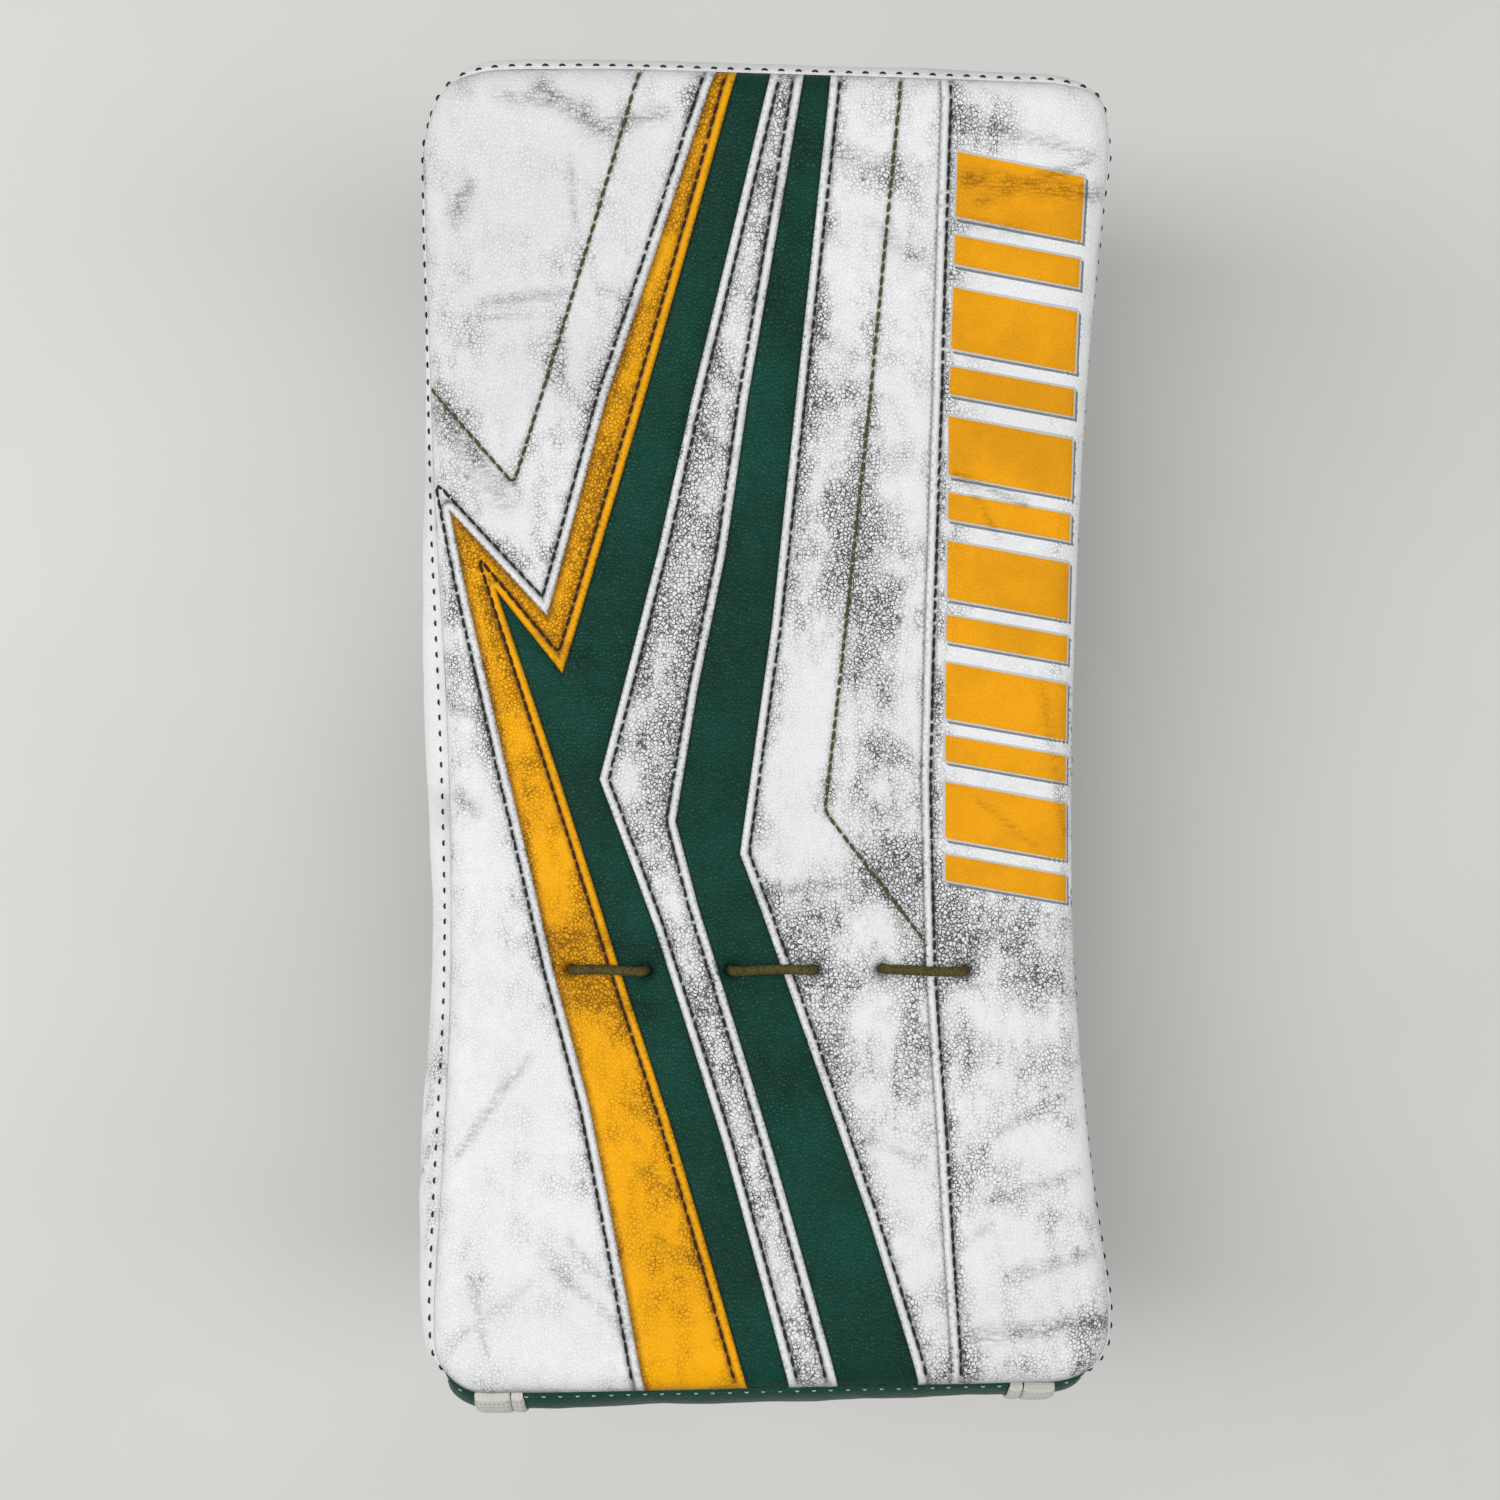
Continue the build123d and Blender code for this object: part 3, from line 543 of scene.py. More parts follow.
# Where grime has settled in the grain: x, y, half width, half height, strength.
GRIME = [
    (-20, 75, 9, 40, 0.75), (-30, 28, 11, 34, 0.9), (-36, -20, 9, 26, 0.6), (2, 130, 5, 22, 0.5),
    (-14, -80, 9, 26, 0.7), (2, -110, 8, 20, 0.45), (12, -160, 6, 22, 0.45),
    (24, 55, 13, 34, 0.75), (34, 30, 10, 36, 0.8), (35, -25, 16, 24, 0.7), (40, -45, 9, 12, 1.0),
    (12, -56, 12, 14, 0.8), (20, -78, 12, 18, 0.75), (44, -90, 5, 30, 0.85), (30, 90, 8, 30, 0.5),
    (28, -105, 14, 18, 0.45), (12, 100, 8, 40, 0.35), (10, 150, 7, 22, 0.35),
    (56, -60, 8, 18, 0.95), (72, -58, 16, 13, 0.8), (84, -74, 9, 20, 1.0), (62, -98, 12, 16, 0.6),
    (80, -112, 12, 12, 0.5), (60, -130, 8, 16, 0.4), (90, -20, 5, 60, 0.35), (57, 60, 5, 90, 0.4),
    (78, -150, 18, 20, 0.35), (94, -174, 9, 8, 0.9), (66, -182, 22, 6, 0.55),
    (-90, 82, 8, 16, 0.4), (-62, 58, 9, 14, 0.45), (-76, 52, 10, 8, 0.5), (-97, 20, 4, 60, 0.35),
    (-93, 120, 9, 40, 0.28), (-60, 140, 18, 26, 0.18), (-64, 98, 12, 22, 0.3),
    (-80, -70, 10, 36, 0.16), (-70, -150, 22, 28, 0.14), (-88, 20, 7, 20, 0.3),
    (-57, 20, 8, 18, 0.7), (-52, 70, 6, 26, 0.65), (-46, 105, 5, 22, 0.5), (-92, 56, 4, 9, 0.8),
    (-84, 8, 6, 30, 0.35), (-74, -30, 6, 24, 0.45), (-60, -60, 9, 16, 0.8), (-50, -84, 9, 12, 0.9),
    (-36, -125, 12, 26, 0.35), (-28, -165, 10, 20, 0.45), (-22, 165, 6, 20, 0.45),
    (44, 130, 4, 50, 0.35), (32, 170, 8, 14, 0.35), (62, 176, 10, 8, 0.5),
]
# Rubbed smears: start, end, half width, strength.
SMEARS = [
    ((-78, 184), (-52, 181), 2.2, 0.5), ((-66, 186), (-46, 174), 3.0, 0.75),
    ((-50, 176), (-30, 179), 2.4, 0.7), ((-93, 152), (-88, 160), 3.0, 0.55),
    ((-85, 128), (-62, 131), 1.8, 0.55), ((-86, 124), (-72, 125), 1.2, 0.5),
    ((-50, 132), (-30, 124), 1.8, 0.35), ((-58, 168), (-57, 150), 1.3, 0.4),
    ((-101, 98), (-82, 76), 3.2, 0.6), ((-92, 84), (-80, 70), 4.0, 0.45),
    ((54, 178), (94, 168), 2.4, 0.5), ((58, 162), (96, 158), 3.0, 0.8),
    ((62, 156), (92, 166), 2.2, 0.7), ((56, 150), (74, 148), 2.0, 0.4),
    ((57, 78), (78, 70), 1.8, 0.6), ((62, 74), (70, 60), 1.6, 0.45),
    ((14, 170), (38, 166), 4.0, 0.35), ((0, 164), (8, 146), 3.0, 0.5),
    ((30, 150), (44, 140), 2.6, 0.35), ((12, 122), (26, 112), 2.2, 0.35),
    ((-20, 120), (-12, 104), 2.6, 0.45), ((-26, 96), (-10, 84), 2.0, 0.5),
    ((-97, 8), (-88, 5), 2.2, 0.5), ((-96, -18), (-90, -24), 2.6, 0.45),
    ((-78, -104), (-94, -128), 1.6, 0.5), ((-72, -98), (-90, -122), 1.4, 0.4),
    ((-64, -158), (-40, -176), 1.4, 0.55), ((-60, -150), (-44, -166), 1.0, 0.45),
    ((-88, -160), (-82, -180), 1.2, 0.4), ((-70, -162), (-92, -178), 1.6, 0.25),
    ((-66, -62), (-34, -66), 4.5, 0.65), ((-60, -80), (-34, -84), 4.0, 0.6),
    ((-84, 34), (-62, 20), 3.0, 0.35), ((-70, 30), (-58, 24), 3.0, 0.6),
    ((-56, 60), (-48, 88), 2.4, 0.5), ((-44, 110), (-38, 128), 1.8, 0.35),
    ((-40, -130), (-24, -140), 1.6, 0.45), ((-44, -112), (-26, -122), 1.4, 0.35),
    ((-34, -150), (-18, -158), 1.5, 0.4), ((66, -140), (92, -132), 2.0, 0.4),
    ((72, -160), (96, -154), 2.4, 0.45), ((60, -176), (98, -172), 3.0, 0.6),
    ((70, -120), (90, -110), 1.6, 0.35), ((58, -152), (66, -146), 1.6, 0.3),
    ((22, -90), (14, -108), 2.4, 0.4), ((30, -122), (44, -128), 2.0, 0.35),
    ((84, 16), (92, -30), 2.0, 0.35), ((64, -20), (82, -34), 1.4, 0.35),
    ((-10, -50), (22, -46), 2.2, 0.45), ((-2, 60), (0, 20), 1.8, 0.3),
]


def left_of(px, py, points):
    """Whether points lie on the thumb's side of a seam."""
    return inside(px, py, [tuple(p) for p in points] + [(-140, -201), (-140, 201)])


def edge_distance(px, py):
    """Distance in from the outline."""
    return line_distance(px, py, OUTLINE_XY + OUTLINE_XY[:1])


def ripple(x, y, scale, seed):
    """Smooth random height of about one unit."""
    return noise.noise(Vector((x / scale, y / scale, seed)))


def cover_fields(px, py):
    """Depth below the face, and at plan points the grime and painted shade: crackle, smear, and
    stains with painted shade.
    """
    height = np.zeros(px.shape)
    crackle = np.full(px.shape, 0.10)
    stain_and_shade = np.zeros(px.shape)
    for x, y, half_w, half_h, strength in GRIME:
        crackle += 0.70 * strength * np.exp(-((px - x) / half_w) ** 2 - ((py - y) / half_h) ** 2)
    clean = np.ones(px.shape)
    for name, (points, side) in SEAMS.items():
        dist = line_distance(px, py, points)
        s = dist * np.where(left_of(px, py, points), side, -side)
        raw = 0.85 if name == "yellow_outer" else 0.42
        height += np.interp(s, SEAM_S, SEAM_H)
        # A dark band in each stitch groove is grime. The dark line just outside the upper panel's
        # folded edge is partly its raw cut edge and grime, partly painted shade where the edge
        # steps down.
        stain_and_shade = np.maximum(stain_and_shade, 0.88 * np.exp(-((s - STITCH_INSET) / 0.72) ** 2))
        stain_and_shade = np.maximum(stain_and_shade, 0.72 * np.exp(-((s + raw / 2) / raw) ** 2) * (s < 0.3))
        beside = 0.24 if name == "yellow_outer" else 0.50
        crackle += beside * np.exp(-np.abs(s - 4.0) / 2.6) * (s > 3.0)
        crackle += 0.25 * np.exp(-np.abs(s) / 3.0) * (s < 0)
        clean *= 1 - 0.75 * ((s > 0.2) & (s < 2.3))
    for points in SHAPE_LINES:
        dist = line_distance(px, py, points)
        height += np.interp(dist, LINE_S, LINE_H)
        stain_and_shade = np.maximum(stain_and_shade, 0.62 * np.exp(-(dist / 0.72) ** 2))
        crackle += 0.28 * np.exp(-dist / 2.5)
    for x in LACE_X:
        away = np.hypot(px - x, py - LACE_Y)
        height -= 2.4 * np.exp(-(away / 2.1) ** 2) + 0.5 * np.exp(-(away / 6) ** 2)
        # Painted shade: each lace hole is darkened almost to black at its middle, standing in for
        # the shade inside the hole.
        stain_and_shade = np.maximum(stain_and_shade, 0.9 * np.exp(-(away / 2.4) ** 2))
        crackle += 0.5 * np.exp(-(away / 7) ** 2)
        pucker = np.sin(9 * np.arctan2(py - LACE_Y, px - x) + x)
        height += 0.10 * pucker * np.exp(-((away - 4.5) / 2.6) ** 2)
    for a, b in zip(LACE_X[::2], LACE_X[1::2]):
        off = np.maximum(0, np.abs(px - (a + b) / 2) - (b - a) / 2)
        away = np.hypot(off, py - LACE_Y)
        height -= 0.55 * np.exp(-(away / 2.6) ** 2)
        # Painted shadow: a dark band on the face under each front run of the lace, between its two
        # holes.
        stain_and_shade = np.maximum(stain_and_shade, 0.35 * np.exp(-(away / 2.2) ** 2))
    height += np.array([0.55 * ripple(x, y, 46, 1) + 0.16 * ripple(x, y, 15, 2)
                        + 0.07 * ripple(x, y * 1.6, 6, 3) for x, y in zip(px, py)])
    smear = np.zeros(px.shape)
    for a, b, half, strength in SMEARS:
        away = line_distance(px, py, [a, b])
        smear = np.maximum(smear, strength * np.exp(-(away / (0.85 * half)) ** 2))
    edge = edge_distance(px, py)
    slope = np.clip(1 - edge / EDGE_WIDTH, 0, 1)
    drop = SEAM_DEPTH * (1 - np.sqrt(np.clip(1 - slope ** 2, 0, 1)))
    height *= np.clip(edge / 3.0, 0, 1)
    stain_and_shade = np.maximum(stain_and_shade, np.where(px < -60, 0.6, 0.3) * np.exp(-(edge / 0.8) ** 2))
    crackle += 0.18 * np.exp(-edge / 5)
    # A broad grey over the upper left of the face, strongest at the far left and fading out towards
    # the middle and below y 60, made patchy by a ripple.
    upper_left_grey = np.interp(px, [-95, -30, 0], [0.13, 0.045, 0.0]) * np.clip((py - 60) / 40, 0, 1)
    upper_left_grey *= np.array([1 + 0.5 * ripple(x, y, 34, 8) for x, y in zip(px, py)])
    stain_and_shade = np.maximum(stain_and_shade, upper_left_grey)
    rows = np.stack([np.clip(crackle * clean, 0, 1.3), smear, stain_and_shade], axis=1)
    return drop - height, rows


def cover_points():
    """Plan points of the cover's mesh, and the edges that must be in it."""
    fixed, edges = [], []

    def chain(points, closed=False):
        start = len(fixed)
        fixed.extend((p[0], p[1]) for p in points)
        edges.extend((i, i + 1) for i in range(start, len(fixed) - 1))
        if closed:
            edges.append((len(fixed) - 1, start))

    chain(OUTLINE_XY, closed=True)
    for points, _ in SEAMS.values():
        chain(resample([(x, y, 0) for x, y in points], 1.6))
    taken = {(round(x / 0.5), round(y / 0.5)) for x, y in fixed}
    loose = []

    def offer(x, y):
        key = (round(x / 0.5), round(y / 0.5))
        if key not in taken:
            taken.add(key)
            loose.append((x, y))

    ring = OUTLINE_XY
    count = len(ring)
    for k in range(1, 9):
        inset = EDGE_WIDTH * (1 - math.sin(math.pi / 2 * (1 - k / 9)))
        for i in range(count):
            ax, ay = ring[i - 1]
            bx, by = ring[(i + 1) % count]
            length = math.hypot(bx - ax, by - ay)
            nx, ny = (by - ay) / length, -(bx - ax) / length
            offer(ring[i][0] + nx * inset, ring[i][1] + ny * inset)
    rows = [s for s in SEAM_S if -3 < s < 5 and s]
    for points, side in SEAMS.values():
        for s in rows:
            for p in resample(offset_line(points, s * side), 1.9):
                offer(p.x, p.y)
    for points in SHAPE_LINES:
        for s in (-1.1, -0.45, 0, 0.45, 1.1):
            for p in resample(offset_line(points, s), 1.9):
                offer(p.x, p.y)
    for x in LACE_X:
        for r in (0, 1, 2, 3):
            for k in range(6 * r or 1):
                offer(x + r * math.cos(k / r if r else 0), LACE_Y + r * math.sin(k / r if r else 0))
    spacing = 1.8
    for row in range(int(400 / spacing)):
        y = -200 + row * spacing
        for col in range(int(212 / spacing)):
            offer(-106 + (col + 0.5 * (row % 2)) * spacing, y)
    return fixed, edges, loose


def make_cover():
    """The seven sewn panels as seven meshes that share their seams."""
    fixed, edges, loose = cover_points()
    lx, ly = plan_arrays(loose)
    keep = inside(lx, ly, OUTLINE_XY) & (edge_distance(lx, ly) > 0.4)
    for points, _ in SEAMS.values():
        keep &= line_distance(lx, ly, points) > 0.2
    points = fixed + [p for p, k in zip(loose, keep) if k]
    px, py, tris = triangulate(points, edges, OUTLINE_XY)
    cx, cy = px[tris].mean(axis=1), py[tris].mean(axis=1)
    region = sum((~left_of(cx, cy, line)).astype(int) for line, _ in SEAMS.values())
    depth, rows = cover_fields(px, py)
    places = [at(x, y, d) for x, y, d in zip(px, py, depth)]
    parts = [("panel_white_left", "white"), ("chevron_yellow", "yellow"),
             ("band_green_left", "green"), ("stripe_white", "white"),
             ("band_green_right", "green"), ("panel_white_middle", "white"),
             ("panel_white_side", "white")]
    for index, (node, colour) in enumerate(parts):
        own = tris[region == index]
        used = np.unique(own)
        renumber = {int(v): i for i, v in enumerate(used)}
        faces = [tuple(renumber[int(v)] for v in t) for t in own]
        piece = new_mesh(f"cover_{node}", [places[v] for v in used], faces, MAT[colour])
        add_paint(piece, rows[used])
        hidden = [node]
        if node == "panel_white_side":
            hidden += ["foam_front", "foam_back", "stiffener_sheet"]
        place(piece, "board", hidden)


def on_cover(points, lift=0.0):
    """Plan points moved to the cover's surface."""
    px, py = plan_arrays(points)
    depth, _ = cover_fields(px, py)
    return [at(x, y, d - lift) for x, y, d in zip(px, py, depth)]


def surface_normal(point):
    """The cover's normal near a point on it, in mm."""
    y = point.y
    tip = face_normal(max(-190, min(190, y)))
    px, py = np.array([point.x, point.x + 1, point.x]), np.array([y, y, y + 1])
    edge = edge_distance(px, py)
    slope = np.clip(1 - edge / EDGE_WIDTH, 0, 0.98)
    drop = SEAM_DEPTH * (1 - np.sqrt(1 - slope ** 2))
    return (tip + Vector((drop[1] - drop[0], drop[2] - drop[0], 0))).normalized()


def clipped(points, margin):
    """The part of a dense line that is inside the outline."""
    px, py = plan_arrays(points)
    keep = inside(px, py, OUTLINE_XY) & (edge_distance(px, py) > margin)
    return [p for p, k in zip(points, keep) if k]


def make_cover_stitches():
    """Topstitching beside each seam, and the decorative olive lines."""
    threads = {"yellow_inner": "thread_brown"}
    for name, (points, side) in SEAMS.items():
        line = clipped(resample(offset_line(points, STITCH_INSET * side), 1.0), 2.0)
        thread = threads.get(name, "thread_black")
        run = stitches(f"stitches_{name}", on_cover(line), surface_normal, MAT[thread],
                       pitch=3.7, length=3.5, radius=0.48, lift=0.10, tilt=0.22)
        place(run, "board")
    for index, points in enumerate(SHAPE_LINES):
        line = clipped(resample([(x, y, 0) for x, y in points], 1.0), 1.0)
        run = stitches(f"stitches_olive_{index + 1}", on_cover(line), surface_normal,
                       MAT["thread_olive"], pitch=3.4, length=3.2, radius=0.5, lift=0.10,
                       tilt=0.3)
        place(run, "board")


# ---------------------------------------------------------------- printed blocks
MOTIF_TOP_Y, MOTIF_PITCH, MOTIF_HEIGHT = 170.0, 36.8, 31.4
MOTIF_X0, MOTIF_X1, MOTIF_SLANT = 53.8, 93.2, 7.0
MOTIF_SLIT = 3.8


def bar_outline(top, low, grow, shift=(0, 0)):
    """A slanted bar's corners, grown on every side and moved."""
    x0, x1 = MOTIF_X0 - grow + shift[0], MOTIF_X1 + grow + shift[0]
    up, down = grow + shift[1], -grow + shift[1]
    return [(x0, top + up), (x1, top - MOTIF_SLANT + up), (x1, low - MOTIF_SLANT + down),
            (x0, low + down)]


def block_sheet(name, outline, lift, bevel, material):
    """A thin printed block that follows the cover."""
    (ax, ay), (bx, by), (cx, cy), (dx, dy) = outline
    cols, rows = 26, 14
    plan, rise = [], []
    for j in range(rows + 1):
        v = j / rows
        for i in range(cols + 1):
            u = i / cols
            x = (ax * (1 - u) + bx * u) * (1 - v) + (dx * (1 - u) + cx * u) * v
            y = (ay * (1 - u) + by * u) * (1 - v) + (dy * (1 - u) + cy * u) * v
            plan.append((x, y))
            edge = min(u * (bx - ax), (1 - u) * (bx - ax), v * (ay - dy), (1 - v) * (ay - dy))
            rise.append(lift * min(1.0, edge / bevel) ** 0.5 - 0.12)
    px, py = plan_arrays(plan)
    depth, paint = cover_fields(px, py)
    verts = [at(x, y, d - r) for x, y, d, r in zip(px, py, depth, rise)]
    faces = [(a, d, c, b) for a, b, c, d in ring_faces(rows + 1, cols + 1, looped=False)]
    piece = new_mesh(name, verts, faces, material)
    paint[:, 0] *= 0.35
    add_paint(piece, paint)
    return piece


def make_blocks():
    """Six blocks of two slanted bars, with a pale edge and a grey drop shadow."""
    for row in range(6):
        top = MOTIF_TOP_Y - row * MOTIF_PITCH
        low = top - MOTIF_HEIGHT
        split = top - MOTIF_HEIGHT * 0.60
        for part, (a, b) in enumerate(((top, split), (split - MOTIF_SLIT, low))):
            tag = f"{row + 1}_{part + 1}"
            shade = block_sheet(f"block_shadow_{tag}", bar_outline(a, b, 0.5, (0.8, -0.9)), 0.20,
                                0.5, MAT["shadow"])
            rim = block_sheet(f"block_rim_{tag}", bar_outline(a, b, 0.5), 0.34, 0.5, MAT["pale"])
            face = block_sheet(f"block_face_{tag}", bar_outline(a, b, 0.0), 0.52, 0.6,
                               MAT["yellow_print"])
            place(shade, "board")
            place(rim, "board")
            place(face, "board", ["side_blocks"])


# ---------------------------------------------------------------- side strips
def loop_normals(loop):
    """Outward plan normals of the closed outline."""
    out = []
    for i, _ in enumerate(loop):
        a, b = loop[i - 1], loop[(i + 1) % len(loop)]
        d = (b - a).normalized()
        out.append(Vector((-d.y, d.x, 0)))
    return out


# How far the strips bulge outwards: place along y and distance, for each long side.
BULGE_LEFT = ([-185, -179, -140, -112, -76, -39, 10, 53, 95, 130, 165, 176],
              [1.5, 4.5, 8.5, 9.0, 7.5, 8.2, 9.4, 6.5, 3.4, 2.2, 2.2, 1.5])
BULGE_RIGHT = ([-185, -178, -150, -120, -60, 60, 120, 150, 170, 176],
               [1.6, 2.4, 1.8, 0.9, 0.6, 0.6, 0.7, 1.2, 2.2, 1.5])
STRIP_ROWS = 16
STITCH_SHARE = {"right": 0.21, "bottom": 0.03}
CORNER_Y = 179.0


def strip_side(point):
    """Which strip a point of the outline belongs to."""
    if point.y > CORNER_Y:
        return "top"
    if point.y < -CORNER_Y - 6:
        return "bottom"
    return "left" if point.x < 0 else "right"


def strip_bulge(point, side):
    """How far the strip stands out at its fullest."""
    if side == "top":
        end = min(abs(point.x + 99), abs(point.x - 99))
        return 3.6 * (1 - 0.5 * math.exp(-(end / 8) ** 2)) + 0.5 * ripple(point.x, 0, 30, 4)
    if side == "bottom":
        end = min(abs(point.x + 98), abs(point.x - 98))
        full = 3.7 - 0.006 * point.x
        return full - 1.4 * math.exp(-(end / 6) ** 2) + 0.6 * ripple(point.x, 0, 24, 5)
    table = BULGE_LEFT if side == "left" else BULGE_RIGHT
    return float(np.interp(point.y, *table)) + 0.5 * ripple(0, point.y, 22, 6)


def strip_out(bulge, share):
    """How far a strip stands out; share goes from the front seam to the back edge."""
    return bulge * math.sin(math.pi * share) ** 0.62


def strip_point(point, normal, bulge, share):
    """A point of a strip, tucked under the cover's edge at its front seam."""
    out = strip_out(bulge, share) - 0.35 * math.exp(-(share / 0.02) ** 2)
    crease = 0.25 * ripple(point.x + point.y, share * 40, 9, 7) * math.sin(math.pi * share)
    spot = point + normal * (out + crease)
    depth = SEAM_DEPTH + (BOARD_THICKNESS - SEAM_DEPTH) * share
    return at(spot.x, max(-196, min(196, spot.y)), depth)


def make_strips():
    """The four strips round the board, with their hand stitches."""
    dense = resample(OUTLINE, 1.6, closed=True)
    normals = loop_normals(dense)
    sides = [strip_side(p) for p in dense]
    looks = {"top": ("white_side", "white_skin"), "left": ("white_side", "white_skin"),
             "right": ("white_side", "white_skin"), "bottom": ("green_side", "green_skin")}
    count = len(dense)
    for name, (look, slot) in looks.items():
        start = next(i for i in range(count) if sides[i] == name and sides[i - 1] != name)
        run = [start - 1]
        while sides[(run[-1] + 1) % count] == name:
            run.append((run[-1] + 1) % count)
        run.append((run[-1] + 1) % count)
        verts, seam = [], []
        last = len(run) - 1
        for k, i in enumerate(run):
            end = min(k, last - k) * 1.6
            bulge = strip_bulge(dense[i], name) * (1 - 0.75 * math.exp(-(end / 3.2) ** 2))
            for j in range(STRIP_ROWS + 1):
                share = (j / STRIP_ROWS) ** 1.25
                verts.append(strip_point(dense[i], normals[i], bulge, share))
            seam.append(strip_point(dense[i], normals[i], bulge, STITCH_SHARE.get(name, 0.035)))
        piece = new_mesh(f"strip_{name}", verts,
                         ring_faces(last + 1, STRIP_ROWS + 1, looped=False), MAT[look])
        nodes = [f"side_strip_{name}"] + (["thumb_side_roll"] if name == "left" else [])
        place(piece, "board", nodes)
        fine = name == "bottom"
        thread = "thread_white" if fine else "thread_black"
        outward = {tuple(p): n for p, n in zip(seam, (normals[i] for i in run))}
        finder = list(outward.items())

        def normal_at(point, finder=finder):
            near = min(finder, key=lambda item: (Vector(item[0]) - point).length_squared)
            return (near[1] + Vector((0, 0, 1))).normalized()

        dots = stitches(f"strip_stitches_{name}", seam, normal_at, MAT[thread], pitch=4.9,
                        length=1.2 if fine else 1.9, radius=0.22 if fine else 0.32,
                        lift=0.12 if fine else 0.14)
        place(dots, "board")


# ---------------------------------------------------------------- lace
def lace_run(start, end, sag):
    """One visible stretch of the lace, diving into its two holes."""
    centre = on_cover([((start + end) / 2, LACE_Y)], 0)[0]
    half = (end - start) / 2
    points = []
    for i in range(61):
        u = -1 + 2 * i / 60
        bend = max(0.0, abs(u) - 0.86) / 0.14
        x = centre.x + u * half
        z = centre.z + 1.55 - sag * (1 - u * u) - 5.2 * bend ** 2.2
        y = centre.y + 0.35 * math.sin(2.1 * u + start)
        points.append(Vector((x, y, z)))
    return points


BACK_RUN_Z = 86.3
KNOT_SIZE, KNOT_DROP, LACE_RADIUS = 0.78, 3.65, 1.42


def lace_back_run(start, end):
    """A stretch of the lace under the cuff's pad, going up into it at both ends."""
    points = []
    for i in range(61):
        u = -1 + 2 * i / 60
        bend = max(0.0, abs(u) - 0.88) / 0.12
        points.append(Vector(((start + end) / 2 + u * (end - start) / 2,
                              LACE_Y + 0.4 * math.sin(2 * u + end),
                              BACK_RUN_Z - 0.5 * (1 - u * u) + 4.6 * bend ** 2.2)))
    return points


def knot_points(x):
    """A drawn-up overhand knot with a short tail, under the pad at one end of the lace."""
    inward = -1 if x > 0 else 1
    middle = Vector((x, LACE_Y, BACK_RUN_Z - KNOT_DROP))
    points = [Vector((x, LACE_Y, BACK_RUN_Z + 4)), Vector((x, LACE_Y, BACK_RUN_Z + 1))]
    for i in range(56):
        t = math.pi * (0.5 + 1.9 * i / 55)
        points.append(middle + Vector((math.sin(t) + 2 * math.sin(2 * t), -math.sin(3 * t) * 1.2,
                                       math.cos(t) - 2 * math.cos(2 * t))) * KNOT_SIZE)
    tail = points[-1]
    for i in range(1, 9):
        points.append(tail + Vector((inward * 1.0 * i, 0.15 * i, -0.06 * i * i)))
    return points


def make_lace():
    """The lace's runs on both sides and its knots, with a braid in their surface."""
    def braid(i, angle):
        a = math.sin(4 * angle + i * 0.62)
        b = math.sin(4 * angle - i * 0.62)
        return 1 + 0.075 * max(a, b)

    runs = [(f"front_{i + 1}", lace_run(a, b, 0.25), ["board_lace"])
            for i, (a, b) in enumerate(zip(LACE_X[::2], LACE_X[1::2]))]
    runs += [(f"back_{i + 1}", lace_back_run(a, b), [])
             for i, (a, b) in enumerate(zip(LACE_X[1::2], LACE_X[2::2]))]
    runs += [(f"knot_{i + 1}", knot_points(x), ["lace_knots"])
             for i, x in enumerate((LACE_X[0], LACE_X[-1]))]
    for name, points, nodes in runs:
        dense = resample(points, 0.28)
        piece = tube(f"lace_{name}", dense, LACE_RADIUS, MAT["lace"], 24, ripple=braid)
        place(piece, "board", nodes)


# ---------------------------------------------------------------- keeper tabs
def make_tabs():
    """Webbing keepers over the cuff-end strip, each beside a narrower band."""
    for index, (x0, x1, band0, band1) in enumerate(((-86.0, -75.8, -75.2, -72.2),
                                                    (75.0, 83.8, 71.0, 74.3))):
        for kind, a, b, proud in (("tab", x0, x1, 0.9), ("band", band0, band1, 0.65)):
            verts = []
            cols, rows = 12, 30
            for j in range(rows + 1):
                share = 0.90 * j / rows
                for i in range(cols + 1):
                    x = a + (b - a) * i / cols
                    y = -190.2 if x < 0 else -187.8
                    lift = (proud - 0.5 * abs(2 * i / cols - 1) ** 6) * min(1, share / 0.04)
                    depth = SEAM_DEPTH + (BOARD_THICKNESS - SEAM_DEPTH) * share
                    bulge = strip_bulge(Vector((x, y, 0)), "bottom")
                    verts.append(at(x, y - strip_out(bulge, share) - lift, depth))
            piece = new_mesh(f"keeper_{kind}_{index + 1}", verts,
                             ring_faces(rows + 1, cols + 1, looped=False), MAT["webbing"])
            solid = piece.modifiers.new("thick", "SOLIDIFY")
            solid.thickness, solid.offset = 0.7 * MM, -1
            apply_modifiers(piece)
            place(piece, "board", ["edge_tabs"])


# ---------------------------------------------------------------- camera, floor and light
CAMERA_AT, CAMERA_SENSOR, CAMERA_LENS = (-5.5, -5.0, 586.0), 36.0, 35.6
FLOOR_HALF = 20.0       # metres
# Area lights, in metres and watts: name, place, size, power. They point at the origin.
LIGHTS = [
    ("light_left", (-0.85, 0.10, 1.15), (0.40, 1.5), 12.8),
    ("light_right", (0.85, -0.05, 1.15), (0.45, 1.5), 7.4),
]
WORLD_STRENGTH = 0.35


